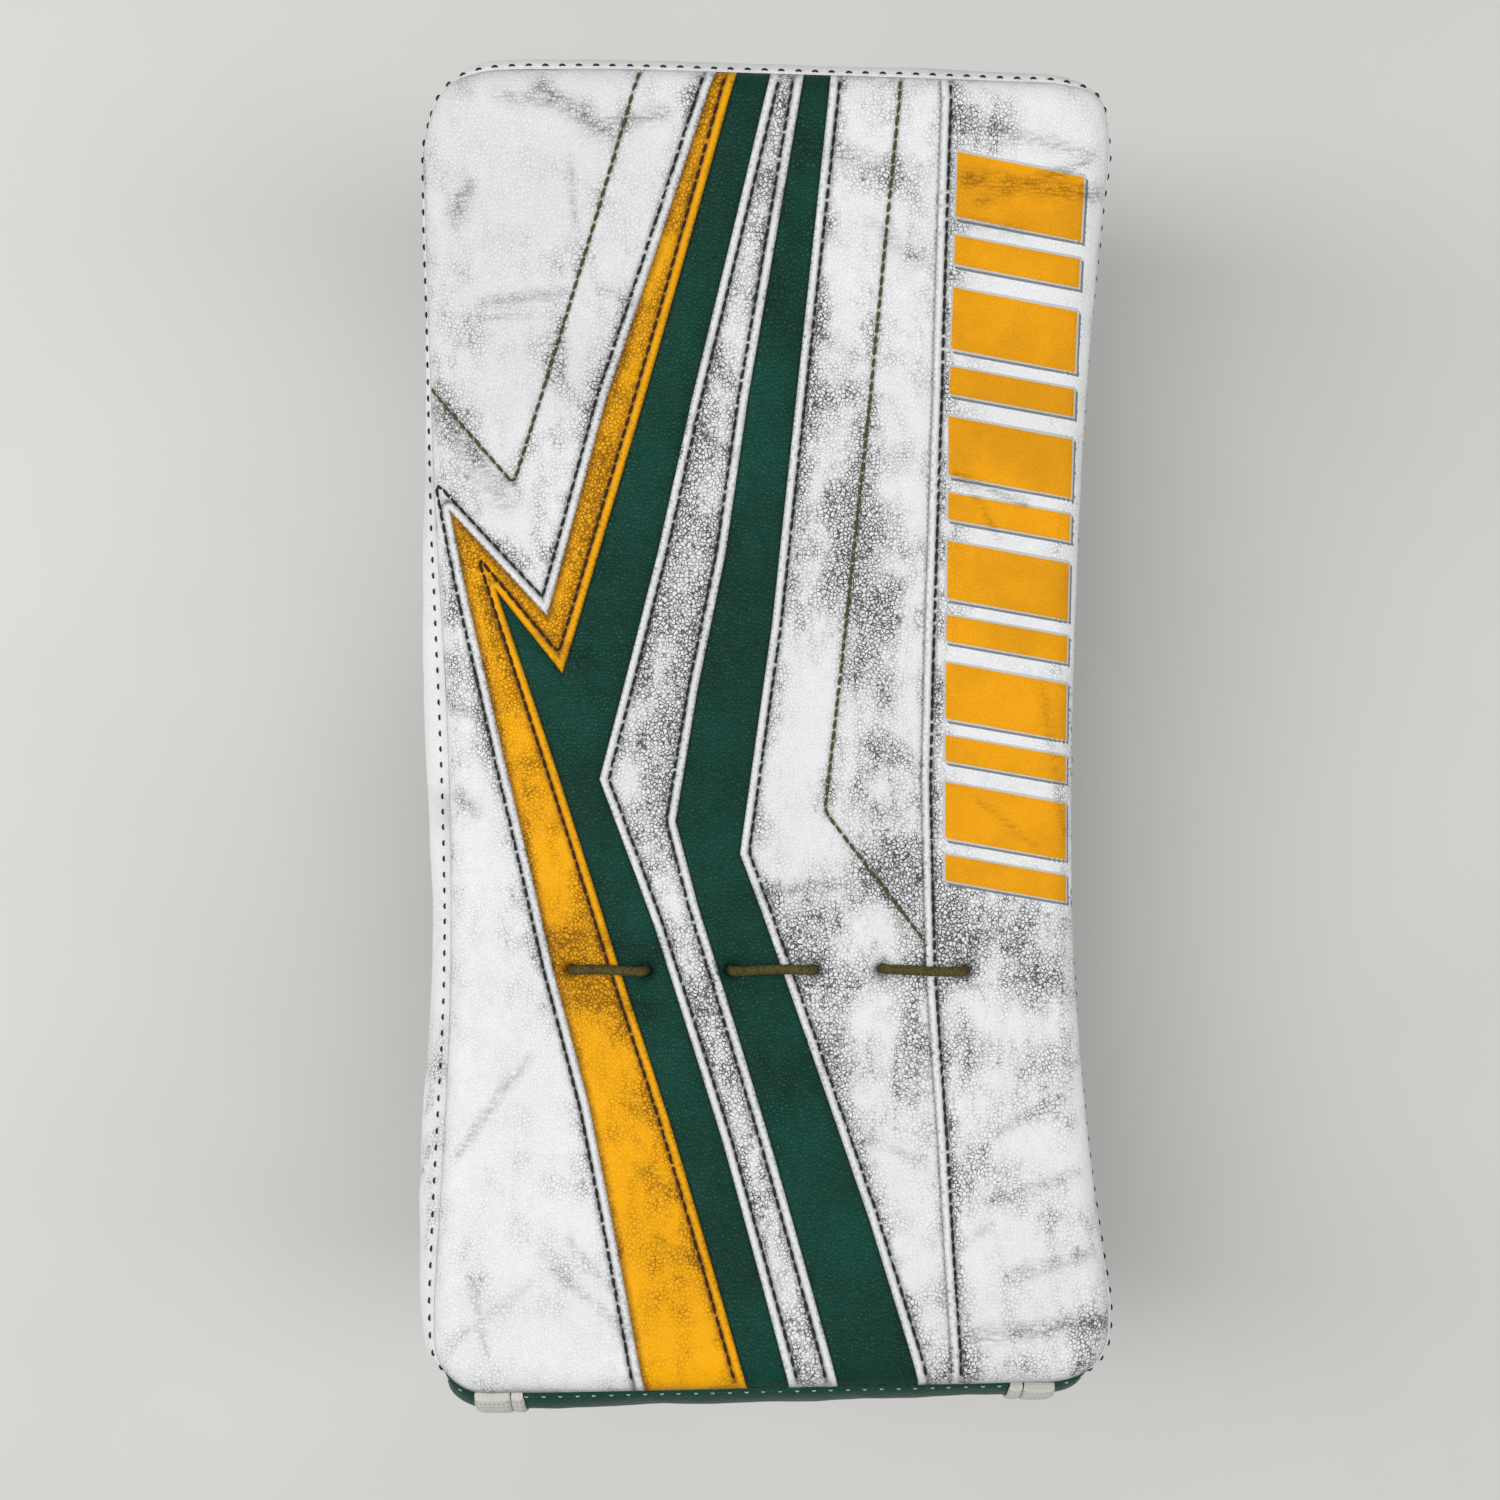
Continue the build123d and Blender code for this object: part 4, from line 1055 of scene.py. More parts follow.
def make_stage():
    """Floor, camera and soft light."""
    camera_data = bpy.data.cameras.new("camera")
    camera_data.sensor_width = CAMERA_SENSOR
    camera_data.lens = CAMERA_LENS
    camera = bpy.data.objects.new("camera", camera_data)
    camera.location = tuple(c * MM for c in CAMERA_AT)
    bpy.context.collection.objects.link(camera)
    bpy.context.scene.camera = camera

    s = Shader("floor")
    tone = s.blend(s.ramp(s.noise(6.0, 5.0), 0.3, 0.7), srgb(211, 211, 208), srgb(215, 215, 212))
    floor_material = s.finish(tone, 0.9, [])
    mesh = bpy.data.meshes.new("floor")
    corners = [(x * FLOOR_HALF, y * FLOOR_HALF, 0) for x, y in ((-1, -1), (1, -1), (1, 1), (-1, 1))]
    mesh.from_pydata(corners, [], [(0, 1, 2, 3)])
    mesh.materials.append(floor_material)
    floor = bpy.data.objects.new("floor", mesh)
    bpy.context.collection.objects.link(floor)

    for name, place_at, size, power in LIGHTS:
        data = bpy.data.lights.new(name, "AREA")
        data.shape = "RECTANGLE"
        data.size, data.size_y = size
        data.energy = power
        light = bpy.data.objects.new(name, data)
        light.location = place_at
        light.rotation_euler = (Vector(place_at) * -1).to_track_quat("-Z", "Y").to_euler()
        bpy.context.collection.objects.link(light)
    world = bpy.data.worlds.new("world")
    world.use_nodes = True
    background = world.node_tree.nodes["Background"]
    background.inputs["Color"].default_value = (1, 1, 1, 1)
    background.inputs["Strength"].default_value = WORLD_STRENGTH
    bpy.context.scene.world = world
    bpy.context.scene.view_settings.view_transform = "Standard"

# ---------------------------------------------------------------- padded pieces
def plan_mesh(outline, spacing, lines=()):
    """Triangles over a plan outline, with extra rows of points near its edge and some lines."""
    border = resample([(x, y, 0) for x, y in outline], spacing, closed=True)
    ring = [(p.x, p.y) for p in border]
    count = len(ring)
    area = sum(a[0] * b[1] - b[0] * a[1] for a, b in zip(ring, ring[1:] + ring[:1]))
    turn = -1 if area < 0 else 1
    loose = []
    for inset in (0.25, 0.8, 1.7, 3.0):
        for i in range(count):
            ax, ay = ring[i - 1]
            bx, by = ring[(i + 1) % count]
            length = math.hypot(bx - ax, by - ay) or 1
            nx, ny = -(by - ay) / length * turn, (bx - ax) / length * turn
            loose.append((ring[i][0] + nx * inset, ring[i][1] + ny * inset))
    for line in lines:
        for s in (-1.2, -0.5, 0, 0.5, 1.2):
            loose += [(p.x, p.y) for p in resample(offset_line(line, s), spacing)]
    low = [min(p[k] for p in ring) for k in (0, 1)]
    high = [max(p[k] for p in ring) for k in (0, 1)]
    rows, cols = int((high[1] - low[1]) / spacing) + 2, int((high[0] - low[0]) / spacing) + 2
    loose += [(low[0] + (c + 0.5 * (r % 2)) * spacing, low[1] + r * spacing)
              for r in range(rows) for c in range(cols)]
    lx, ly = plan_arrays(loose)
    gap = line_distance(lx, ly, ring + ring[:1])
    keep = inside(lx, ly, ring) & (gap > 0.15)
    taken, picked = set(), []
    for point, ok in zip(loose, keep):
        key = (round(point[0] / 0.45), round(point[1] / 0.45))
        if ok and key not in taken:
            taken.add(key)
            picked.append(point)
    edges = [(i, (i + 1) % count) for i in range(count)]
    px, py, tris = triangulate(ring + picked, edges, ring)
    edge = line_distance(px, py, ring + ring[:1])
    edge[:count] = 0
    return px, py, tris, edge


def pillow(name, outline, where, thickness, material, spacing, rounding, wrinkle, seed,
           back=None, crown=0.0, channels=(), back_share=0.5, sag=None):
    """A closed padded panel. where(u, v, w) gives the place of a point in mm, w being its
    height over the middle; thickness may be a function of the plan arrays."""
    px, py, tris, edge = plan_mesh(outline, spacing, [line for line, *_ in channels])
    thick = thickness(px, py) if callable(thickness) else np.full(px.shape, float(thickness))
    reach = np.minimum(thick * 0.5, rounding)
    t = np.clip(edge / reach, 0, 1)
    profile = np.sqrt(1 - (1 - t) ** 2)
    span = max(float(edge.max()), 1e-6)
    swell = crown * np.sin(np.clip(edge / span, 0, 1) * math.pi / 2)
    uneven = np.array([wrinkle * (ripple(x, y, 13, seed) + 0.5 * ripple(x, y, 5, seed + 9))
                       for x, y in zip(px, py)]) * t
    dip = np.zeros(px.shape)
    for line, depth, width in channels:
        dip = np.maximum(dip, depth * np.exp(-(line_distance(px, py, line) / width) ** 2))
    top = thick * (1 - back_share) * profile + (swell + uneven - dip) * t
    bottom = -thick * back_share * profile - (0.5 * swell + uneven * 0.5 - 0.5 * dip) * t
    if sag is not None:
        shift = sag(px, py)
        top, bottom = top + shift, bottom + shift
    count = len(px)
    rim = edge < 1e-6
    verts = [where(x, y, w) for x, y, w in zip(px, py, top)]
    lower, order = {}, []
    for i in range(count):
        if not rim[i]:
            lower[i] = count + len(order)
            order.append(i)
    verts += [where(px[i], py[i], bottom[i]) for i in order]
    faces = [tuple(int(i) for i in t_) for t_ in tris]
    faces += [tuple(lower.get(int(i), int(i)) for i in reversed(t_)) for t_ in tris]
    piece = new_mesh(name, verts, faces, material)
    if back is not None:
        piece.data.materials.append(back)
        half = len(tris)
        marks = [0] * half + [1] * (len(piece.data.polygons) - half)
        piece.data.polygons.foreach_set("material_index", marks)
    mesh = bmesh.new()
    mesh.from_mesh(piece.data)
    bmesh.ops.recalc_face_normals(mesh, faces=mesh.faces)
    mesh.to_mesh(piece.data)
    mesh.free()
    return piece


SIM_FRAMES = 14
CLOTH = {"use_pressure": True, "uniform_pressure_force": 4.0, "quality": 5, "mass": 0.15,
         "tension_stiffness": 18, "bending_stiffness": 0.6}


def inflate(piece, voxel, cap):
    """Swells a padded piece by cloth simulation; no point moves further than cap, in mm."""
    remesh = piece.modifiers.new("remesh", "REMESH")
    remesh.mode, remesh.voxel_size = "VOXEL", voxel * MM
    apply_modifiers(piece)
    rest = [v.co.copy() for v in piece.data.vertices]
    settings = piece.modifiers.new("cloth", "CLOTH").settings
    settings.effector_weights.gravity = 0
    for key, value in CLOTH.items():
        setattr(settings, key, value)
    scene = bpy.context.scene
    for number in range(1, SIM_FRAMES + 1):
        scene.frame_set(number)
    apply_modifiers(piece)
    scene.frame_set(1)
    for vertex, home in zip(piece.data.vertices, rest):
        moved = vertex.co - home
        if moved.length > cap * MM:
            vertex.co = home + moved * (cap * MM / moved.length)
    finer = piece.modifiers.new("finer", "SUBSURF")
    finer.levels = finer.render_levels = 1
    apply_modifiers(piece)
    piece.data.polygons.foreach_set("use_smooth", [True] * len(piece.data.polygons))


def press(piece, points, outward, depth, width):
    """Draws a sewn line into a piece's surface."""
    co = np.empty(len(piece.data.vertices) * 3)
    piece.data.vertices.foreach_get("co", co)
    co = co.reshape(-1, 3) / MM
    gap = np.full(len(co), 1e9)
    for point in points:
        gap = np.minimum(gap, np.linalg.norm(co - np.array(point), axis=1))
    co -= np.array(outward)[None, :] * (depth * np.exp(-(gap / width) ** 2))[:, None]
    piece.data.vertices.foreach_set("co", (co * MM).ravel())
    piece.data.update()


def plane_map(origin, u_axis, v_axis):
    """A flat place for a pillow: u and v along the axes, w across them."""
    u_axis, v_axis = Vector(u_axis).normalized(), Vector(v_axis).normalized()
    normal = u_axis.cross(v_axis)
    origin = Vector(origin)
    return lambda u, v, w: origin + u_axis * u + v_axis * v + normal * w


def round_corners(corners, per):
    """Arcs round a shape, from centres with a start angle in degrees and a radius each."""
    out = []
    for cx, cy, start, radius in corners:
        for k in range(per + 1):
            a = math.radians(start + 90 * k / per)
            out.append((cx + radius * math.cos(a), cy + radius * math.sin(a)))
    return out


def rounded(x0, x1, y0, y1, r):
    """A rectangle with round corners, as plan points."""
    return round_corners(((x1 - r, y1 - r, 0, r), (x0 + r, y1 - r, 90, r),
                          (x0 + r, y0 + r, 180, r), (x1 - r, y0 + r, 270, r)), 6)


def sewn(name, piece, line, where, outward, thread="thread_black", body="board", groove=0.0,
         **look):
    """Stitches on a piece's surface, along a line given in its plan, with a groove if any."""
    dense = resample([(x, y, 0) for x, y in line], 1.0)
    points = drape(piece, [where(p.x, p.y) for p in dense], outward)
    if groove:
        press(piece, points, outward, groove, 1.5)
        points = [p - outward * groove for p in points]
    normal_at = outward if callable(outward) else lambda p: outward
    run = stitches(name, points, normal_at, MAT[thread], **look)
    return place(run, body)


def face_slots(piece, direction, limit):
    """Gives the faces that lie beyond a plane, in mm, the piece's second material."""
    direction = Vector(direction)
    marks = [int(p.center.dot(direction) > limit * MM) for p in piece.data.polygons]
    piece.data.polygons.foreach_set("material_index", marks)


# ---------------------------------------------------------------- back of the board, hand part
MAT.update({
    "nylon": cloth("nylon_back", srgb(34, 35, 38), 1100.0, 0.55, 0.30, 0.15),
    "lining": cloth("knit_lining", srgb(46, 47, 50), 1300.0, 0.6, 0.35, 0.5, 0.92),
    "stretch": cloth("stretch_gusset", srgb(30, 31, 34), 1700.0, 0.5, 0.3, 0.3, 0.9),
    "binding": cloth("binding_tape", srgb(24, 24, 26), 1900.0, 0.6, 0.3, 0.1, 0.8),
    "strap": cloth("strap_webbing", srgb(22, 23, 25), 760.0, 0.65, 0.7, 0.1, 0.7),
    "hook": cloth("hook_and_loop", srgb(20, 20, 22), 2300.0, 0.7, 0.8, 0.8, 0.95),
    "palm": skin("palm_suede", srgb(176, 142, 100), srgb(58, 42, 26), crack=0.5, cell=1600.0,
                 shade=0.45, gloss=0.78, painted=False),
    "palm_dark": skin("palm_overlay", srgb(150, 114, 74), srgb(46, 32, 20), crack=0.5,
                      cell=1500.0, shade=0.5, gloss=0.8, painted=False),
    "cap": skin("thumb_cap_skin", WHITE, BLACK_DIRT_AND_SHADE, crack=0.6, painted=False, gloss=0.38),
})


def board_back(x, y, w):
    """A place on the board's back; w is how far below it."""
    return at(x, y, BOARD_THICKNESS + w)


def make_back():
    """Woven back cover with its edge piping and two sewn lines."""
    inner = [(p.x * 0.990, p.y * 0.997) for p in OUTLINE[::3]]
    lines = [[(-88, y0), (88, y0)] for y0 in (-150, 158)]
    piece = pillow("back_cover_cloth", inner, lambda u, v, w: at(u, v, BOARD_THICKNESS - 0.6 - w),
                   2.2, MAT["nylon"], spacing=5.0, rounding=1.1, crown=0.5,
                   channels=[(line, 1.3, 1.6) for line in lines], wrinkle=0.5, seed=3)
    place(piece, "board", ["back_cover"])
    for index, line in enumerate(lines):
        sewn(f"back_stitches_{index + 1}", piece, line, lambda u, v: board_back(u, v, 0),
             lambda p: -face_normal(p.y), "thread_white", pitch=4.2, length=3.6, radius=0.4)
    loop = resample(OUTLINE, 2.0, closed=True)
    path = [at(p.x * 0.999, p.y * 0.999, BOARD_THICKNESS + 0.2) for p in loop]
    piping = tube("back_piping", path, 1.7, MAT["binding"], 12, closed=True)
    place(piping, "board")


PALM_Z, HAND_TOP_Z = 54.0, 86.0
PALM_OUTLINE = [(54, -45), (54, 25), (-54, 25), (-54, 9), (-46, 5), (-40, 1), (-37.5, -6),
                (-37, -14), (-37.6, -24), (-40, -32), (-46, -37), (-54, -40), (-54, -45)]


def palm_sag(px, py):
    """How far the palm leather hangs between its sewn sides."""
    return 1.6 * np.clip(1 - (px / 54) ** 2, 0, 1) * np.clip(1 - ((py + 10) / 35) ** 2, 0, 1)


def make_hand():
    """Back-of-hand pad, palm leather with its overlay, and the side walls."""
    channels = [([(x, -40), (x, 30)], 2.2, 1.6) for x in (-27, 0, 27)]

    def hand_pad_thickness(px, py):
        top = np.array([at(0, y, BOARD_THICKNESS + 2.4).z for y in py])
        return top - HAND_TOP_Z

    def hand_pad_place(u, v, w):
        top = at(0, v, BOARD_THICKNESS + 2.4).z
        return Vector((u, v, (top + HAND_TOP_Z) / 2 + w))

    pad = pillow("hand_pad", rounded(-53, 53, -44.3, 33.3, 9), hand_pad_place,
                 hand_pad_thickness, MAT["lining"], spacing=3.0, rounding=5, crown=0.0,
                 channels=channels, wrinkle=0.25, seed=5)
    inflate(pad, 2.6, 1.2)
    place(pad, "board", ["backhand_pad"])

    def palm_place(u, v, w):
        return Vector((u, v, PALM_Z + 1.0 - w))

    palm = pillow("palm_leather_cloth", PALM_OUTLINE, palm_place, 1.9, MAT["palm"],
                  back=MAT["palm_dark"], spacing=2.6, rounding=0.9, wrinkle=0.7, seed=8,
                  sag=palm_sag)
    place(palm, "board", ["palm_leather"])
    overlay = rounded(-30, 46, -38, 17, 10)
    patch = pillow("palm_overlay", overlay, palm_place, 1.2, MAT["palm_dark"], spacing=2.6,
                   rounding=0.6, wrinkle=0.7, seed=8, back_share=0.1,
                   sag=lambda px, py: 0.8 + palm_sag(px, py))
    place(patch, "board")

    def under(u, v):
        return Vector((u, v, PALM_Z))

    down = Vector((0, 0, -1))
    look = {"pitch": 3.4, "length": 2.8, "radius": 0.36, "lift": 0.05}
    loop = rounded(-28, 44, -36, 15, 8.5)
    sewn("palm_overlay_stitches", patch, loop + loop[:1], under, down, "thread_white", **look)
    edge = [(51.5, -43), (51.5, 22.5), (-51.5, 22.5), (-51.5, 11)]
    sewn("palm_edge_stitches", palm, edge, under, down, "thread_white", **look)

    for name, x, y0, y1 in (("outer", 53, -44, 24), ("inner", -53, 11, 24)):
        wall = pillow(f"palm_wall_{name}", rounded(y0, y1, PALM_Z + 1.5, HAND_TOP_Z + 0.5, 2),
                      plane_map((x, 0, 0), (0, 1, 0), (0, 0, 1)), 1.8, MAT["stretch"],
                      spacing=2.2, rounding=0.9, wrinkle=1.1, seed=12,
                      channels=[([(y0, z), (y1, z)], 0.9, 2.2) for z in (64, 72, 80)])
        place(wall, "board", ["palm_side_walls"])


# ---------------------------------------------------------------- cuff and strap
CUFF_FRONT_Y, CUFF_REAR_Y = -48.0, -132.0
CUFF_HALF, CUFF_LOW, CUFF_RADIUS = (59.0, 69.0), (20.0, 1.0), (24.0, 28.0)
CUFF_TOP_Z, CUFF_WALL, CUFF_GAP_HALF = 88.0, 11.0, 12.0
STRAP_REAR_Y, STRAP_FRONT_Y = -112.0, -74.0
WING_RUN = 150.0        # a wing's length round the wrist, in its own plan
WING_SEAMS_Y = (-60, -120)
STRAP_START_Z, STRAP_END_Z = 62.0, 39.4
TAB_LOW_Z, TAB_HIGH_Z, PULL_LOW_Z, PULL_HIGH_Z = 40.5, 66.9, 66.0, 76.0


def cuff_section(y):
    """Half width, lowest height and corner radius of the cuff at y."""
    share = (CUFF_FRONT_Y - y) / (CUFF_FRONT_Y - CUFF_REAR_Y)
    return tuple(a + (b - a) * share for a, b in (CUFF_HALF, CUFF_LOW, CUFF_RADIUS))


def cuff_point(side, distance, y, inward):
    """A point of the cuff, at a distance round its section from the pad down one side."""
    half, low, radius = cuff_section(y)
    straight = CUFF_TOP_Z - low - radius
    bend = math.pi / 2 * radius
    if distance <= straight:
        x, z, nx, nz = half, CUFF_TOP_Z - distance, 1.0, 0.0
    elif distance <= straight + bend:
        a = (distance - straight) / radius
        x, z = half - radius + radius * math.cos(a), low + radius - radius * math.sin(a)
        nx, nz = math.cos(a), -math.sin(a)
    else:
        x, z, nx, nz = half - radius - (distance - straight - bend), low, 0.0, -1.0
    return Vector((side * (x - nx * inward), y, z - nz * inward))


def cuff_length(y, end_x=CUFF_GAP_HALF):
    """Distance round one side of the section, down to a distance from the middle."""
    half, low, radius = cuff_section(y)
    return CUFF_TOP_Z - low - radius + math.pi / 2 * radius + half - radius - end_x


def make_cuff():
    """Padded wings, the pad they hang from, and their bindings."""
    pad_outline = [(-59.5, -48.5), (59.5, -48.5), (68.5, -131.5), (-68.5, -131.5)]

    def pad_thickness(px, py):
        return np.array([at(0, y, BOARD_THICKNESS + 0.4).z - CUFF_TOP_Z for y in py])

    def pad_place(u, v, w):
        return Vector((u, v, (at(0, v, BOARD_THICKNESS + 0.4).z + CUFF_TOP_Z) / 2 + w))

    pad = pillow("cuff_pad_cloth", pad_outline, pad_place, pad_thickness, MAT["lining"],
                 spacing=3.4, rounding=4, wrinkle=0.3, seed=21,
                 channels=[([(-55, y), (55, y)], 2.0, 1.8) for y in (-74, -100)])
    inflate(pad, 3.2, 1.0)
    place(pad, "board", ["cuff_pad"])

    for side, name in ((-1, "left"), (1, "right")):
        def wing_place(u, v, w, side=side):
            return cuff_point(side, u / WING_RUN * cuff_length(v), v, CUFF_WALL / 2 - w)

        def strap_channel(px, py):
            """Depth of the channel in which the strap lies."""
            near = np.clip((np.minimum(py - STRAP_REAR_Y, STRAP_FRONT_Y - py) + 2.2) / 1.4, 0, 1)
            return 4.8 * near * np.clip((px - 10) / 3, 0, 1)

        outline = [(0.5, CUFF_REAR_Y + 0.6), (149.5, CUFF_REAR_Y + 0.6),
                   (149.5, CUFF_FRONT_Y - 0.6), (0.5, CUFF_FRONT_Y - 0.6)]
        channels = [([(6, y), (146, y)], 1.1, 1.4) for y in WING_SEAMS_Y]
        wing = pillow(f"cuff_wing_{name}_cloth", outline, wing_place,
                      lambda px, py: CUFF_WALL - 0.3 - strap_channel(px, py),
                      MAT["green_side"], back=MAT["lining"], spacing=2.4, rounding=4.0,
                      crown=0.3, channels=channels, wrinkle=0.35, seed=30 + side,
                      sag=lambda px, py: -0.5 * strap_channel(px, py))
        place(wing, "board", [f"cuff_wing_{name}"])

        def outward(p, side=side):
            half, low, radius = cuff_section(p.y)
            x, z = side * p.x - (half - radius), p.z - (low + radius)
            return Vector((side * max(x, 0.0), 0, min(z, 0.0))).normalized()

        for mark, v in zip(("front", "rear"), WING_SEAMS_Y):
            sewn(f"cuff_stitches_{name}_{mark}", wing, [(4, v), (147, v)],
                 lambda u, y, side=side: cuff_point(side, u / WING_RUN * cuff_length(y), y, 0),
                 outward, "thread_white", pitch=3.6, length=3.0, radius=0.38, lift=0.1)

        profile = [(7.0, -0.7), (3.0, -0.85), (0.4, -0.6), (-0.7, 1.0), (-0.8, 5.5), (-0.7, 10.0),
                   (0.4, 11.6), (3.0, 11.85), (7.0, 11.7), (7.0, 11.1), (1.6, 10.9), (0.6, 9.5),
                   (0.4, 5.5), (0.6, 1.5), (1.6, 0.1), (7.0, -0.1)]
        verts, runs = [], 90
        for k in range(runs + 1):
            u = 0.5 + 149 * k / runs
            for a, b in profile:
                y = CUFF_REAR_Y + a
                wave = 0.12 * ripple(u, b, 4, 40)
                verts.append(cuff_point(side, u / WING_RUN * cuff_length(y), y, b + wave))
        shape = (runs + 1, len(profile))
        band = new_mesh(f"cuff_binding_{name}_tape", verts,
                        ring_faces(*shape) + cap_faces(*shape), MAT["binding"])
        place(band, "board", [f"cuff_binding_{name}"])


def strap_place(u, v, inward):
    """A point of the strap; u runs from the right wing, under the wrist, up the left one."""
    half_run = cuff_length(v, 0.0)
    side = 1 if u < half_run else -1
    return cuff_point(side, u if side > 0 else 2 * half_run - u, v, inward)


def make_strap():
    """Webbing under the wrist, its loose end with a pull tab, and the patches."""
    middle_y = (STRAP_REAR_Y + STRAP_FRONT_Y) / 2
    whole = 2 * cuff_length(middle_y, 0.0)
    start, end = CUFF_TOP_Z - STRAP_START_Z, whole - (CUFF_TOP_Z - STRAP_END_Z)

    def run_place(u, v, w):
        share = (u - start) / (end - start)
        far = 2 * cuff_length(v, 0.0) - (CUFF_TOP_Z - STRAP_END_Z)
        return strap_place(start + (far - start) * share, v, 2.05 - w)

    outline = [(start, STRAP_REAR_Y), (end, STRAP_REAR_Y), (end, STRAP_FRONT_Y),
               (start, STRAP_FRONT_Y)]
    borders = [([(start, y), (end, y)], 0.35, 0.9) for y in (STRAP_REAR_Y + 4, STRAP_FRONT_Y - 4)]
    run = pillow("strap_run", outline, run_place, 2.6, MAT["strap"], spacing=2.4, rounding=0.9,
                 channels=borders, wrinkle=0.12, seed=44)
    place(run, "board", ["wrist_strap"])
    right = Vector((1, 0, 0))
    box = [(start + 3, -108), (start + 26, -108), (start + 26, -78), (start + 3, -78),
           (start + 3, -108), (start + 26, -78), (start + 26, -108), (start + 3, -78)]
    sewn("strap_box_stitches", run, box, lambda u, v: run_place(u, v, 0), right,
         "thread_white", pitch=3.2, length=2.7, radius=0.38, lift=0.1)

    def left_place(v, z, inward):
        half, _, _ = cuff_section(v)
        return Vector((-(half - inward), v, z))

    tab_line = [(STRAP_REAR_Y, TAB_LOW_Z), (STRAP_FRONT_Y, TAB_LOW_Z),
                (STRAP_FRONT_Y, TAB_HIGH_Z), (STRAP_REAR_Y, TAB_HIGH_Z)]
    tab = pillow("strap_end_webbing", tab_line, lambda u, v, w: left_place(u, v, 1.5 - w), 1.6,
                 MAT["strap"], spacing=2.2, rounding=0.7, wrinkle=0.1, seed=46)
    place(tab, "strap_end", ["strap_tab"])
    pull_line = rounded(STRAP_REAR_Y, STRAP_FRONT_Y, PULL_LOW_Z, PULL_HIGH_Z, 3)
    pull = pillow("strap_pull_tab", pull_line, lambda u, v, w: left_place(u, v, 1.55 - w), 2.7,
                  MAT["green_side"], spacing=1.8, rounding=1.2, wrinkle=0.1, seed=47,
                  channels=[([(STRAP_REAR_Y + 5, 71), (STRAP_FRONT_Y - 5, 71)], 0.7, 1.2)])
    place(pull, "strap_end", ["strap_pull"])
    sewn("strap_end_stitches", tab, [(-109, 43), (-77, 43), (-77, 64), (-109, 64), (-109, 43)],
         lambda u, v: left_place(u, v, 1.5), -right, "thread_white", "strap_end",
         pitch=3.2, length=2.7, radius=0.36, lift=0.05)
    for node in ("hook_patch", "loop_patch", "board_loop_patch", "backhand_hook_patch"):
        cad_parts[node].material_slots[0].material = MAT["hook"]


# ---------------------------------------------------------------- index guard
GUARD_X, GUARD_THICKNESS, GUARD_LINING_X = -95.25, 12.2, -91.6


def make_guard():
    """The padded guard beside the index finger."""
    def top_edge(y):
        return at(0, y, BOARD_THICKNESS + 0.6).z

    top = [(y, top_edge(y)) for y in (152, 140, 120, 100, 80, 66, 54)]
    outline = top + [(54, 44), (57, 34), (64, 26.6), (116, 26.4), (123, 28.5), (148, 42),
                     (151.6, 50)]
    stripe = [[(56, 88), (104, 46), (151, 100)], [(56, 76), (104, 34), (151, 88)]]
    border = [(148, 108), (148, 52), (120, 31), (66, 31), (58.5, 42), (58.5, 96)]
    channels = [(stripe[0], 1.4, 1.5), (stripe[1], 1.4, 1.5), (border, 1.0, 1.3)]
    where = plane_map((GUARD_X, 0, 0), (0, 1, 0), (0, 0, 1))
    guard = pillow("index_guard_pad", outline, lambda u, v, w: where(u, v, -w), GUARD_THICKNESS,
                   MAT["white_side"], back=MAT["lining"], spacing=2.4, rounding=6,
                   crown=1.2, channels=channels, wrinkle=0.3, seed=50)
    inflate(guard, 2.8, 1.3)
    face_slots(guard, (1, 0, 0), GUARD_LINING_X)
    place(guard, "board", ["index_guard"])
    left = Vector((-1, 0, 0))
    runs = ((stripe[0], "thread_olive"), (stripe[1], "thread_olive"), (border, "thread_black"))
    for index, (line, thread) in enumerate(runs):
        sewn(f"guard_stitches_{index + 1}", guard, line, lambda u, v: where(u, v, 0), left,
             thread, groove=1.1, pitch=3.7, length=3.2, radius=0.42, lift=0.05)


# ---------------------------------------------------------------- fingers and thumb
DIGIT_PALMAR, DIGIT_CAVITY, DIGIT_PAD = 11.5, 9.5, 9.0
KNUCKLE_Y, KNUCKLE_Z, FINGER_PITCH, FINGER_WIDTH = 34.0, 71.0, 26.0, 24.6
FINGER_FLEX, FINGER_RATIO = (-12.0, 30.0), 1.4
THUMB_FLEX, THUMB_RATIO = (-8.0, 22.0), 1.2
THUMB_AT, THUMB_TURN, THUMB_WIDTH = (-57.0, -16.0, 71.0), 40.0, 28.0
THUMB_LENGTHS, THUMB_SLOPES = (34.0, 33.0), (40.0, 76.0)
FINGERS = [("index", -1.5, 43.0, 50.0, 28.8), ("middle", -0.5, 45.0, 53.8, 22.0),
           ("ring", 0.5, 43.0, 50.0, 28.8), ("little", 1.5, 38.0, 43.0, 36.0)]
SEAM_END = 2.2          # from a sleeve's mouth to the ends of its side seams
TIP_ROUND = 7.5         # from a fingertip's end to where its side seams stop
GUSSET_REACH = 9.0      # from a joint to each end of its stretch gusset


def digit_axes(turn, slope):
    """Directions along, towards the back of and across a segment."""
    t, s = math.radians(turn), math.radians(slope)
    out = Vector((-math.sin(t), math.cos(t), 0))
    along = out * math.cos(s) - Vector((0, 0, 1)) * math.sin(s)
    dorsal = out * math.sin(s) + Vector((0, 0, 1)) * math.cos(s)
    return along, dorsal, along.cross(dorsal)


def end_shift(v, halves):
    """How far a mitred end draws in at height v: halves are its palmar and dorsal slopes."""
    if not halves:
        return 0.0
    palmar, dorsal = (math.tan(math.radians(h)) for h in halves)
    return (-v * palmar if v < 0 else -v * dorsal) + 0.3


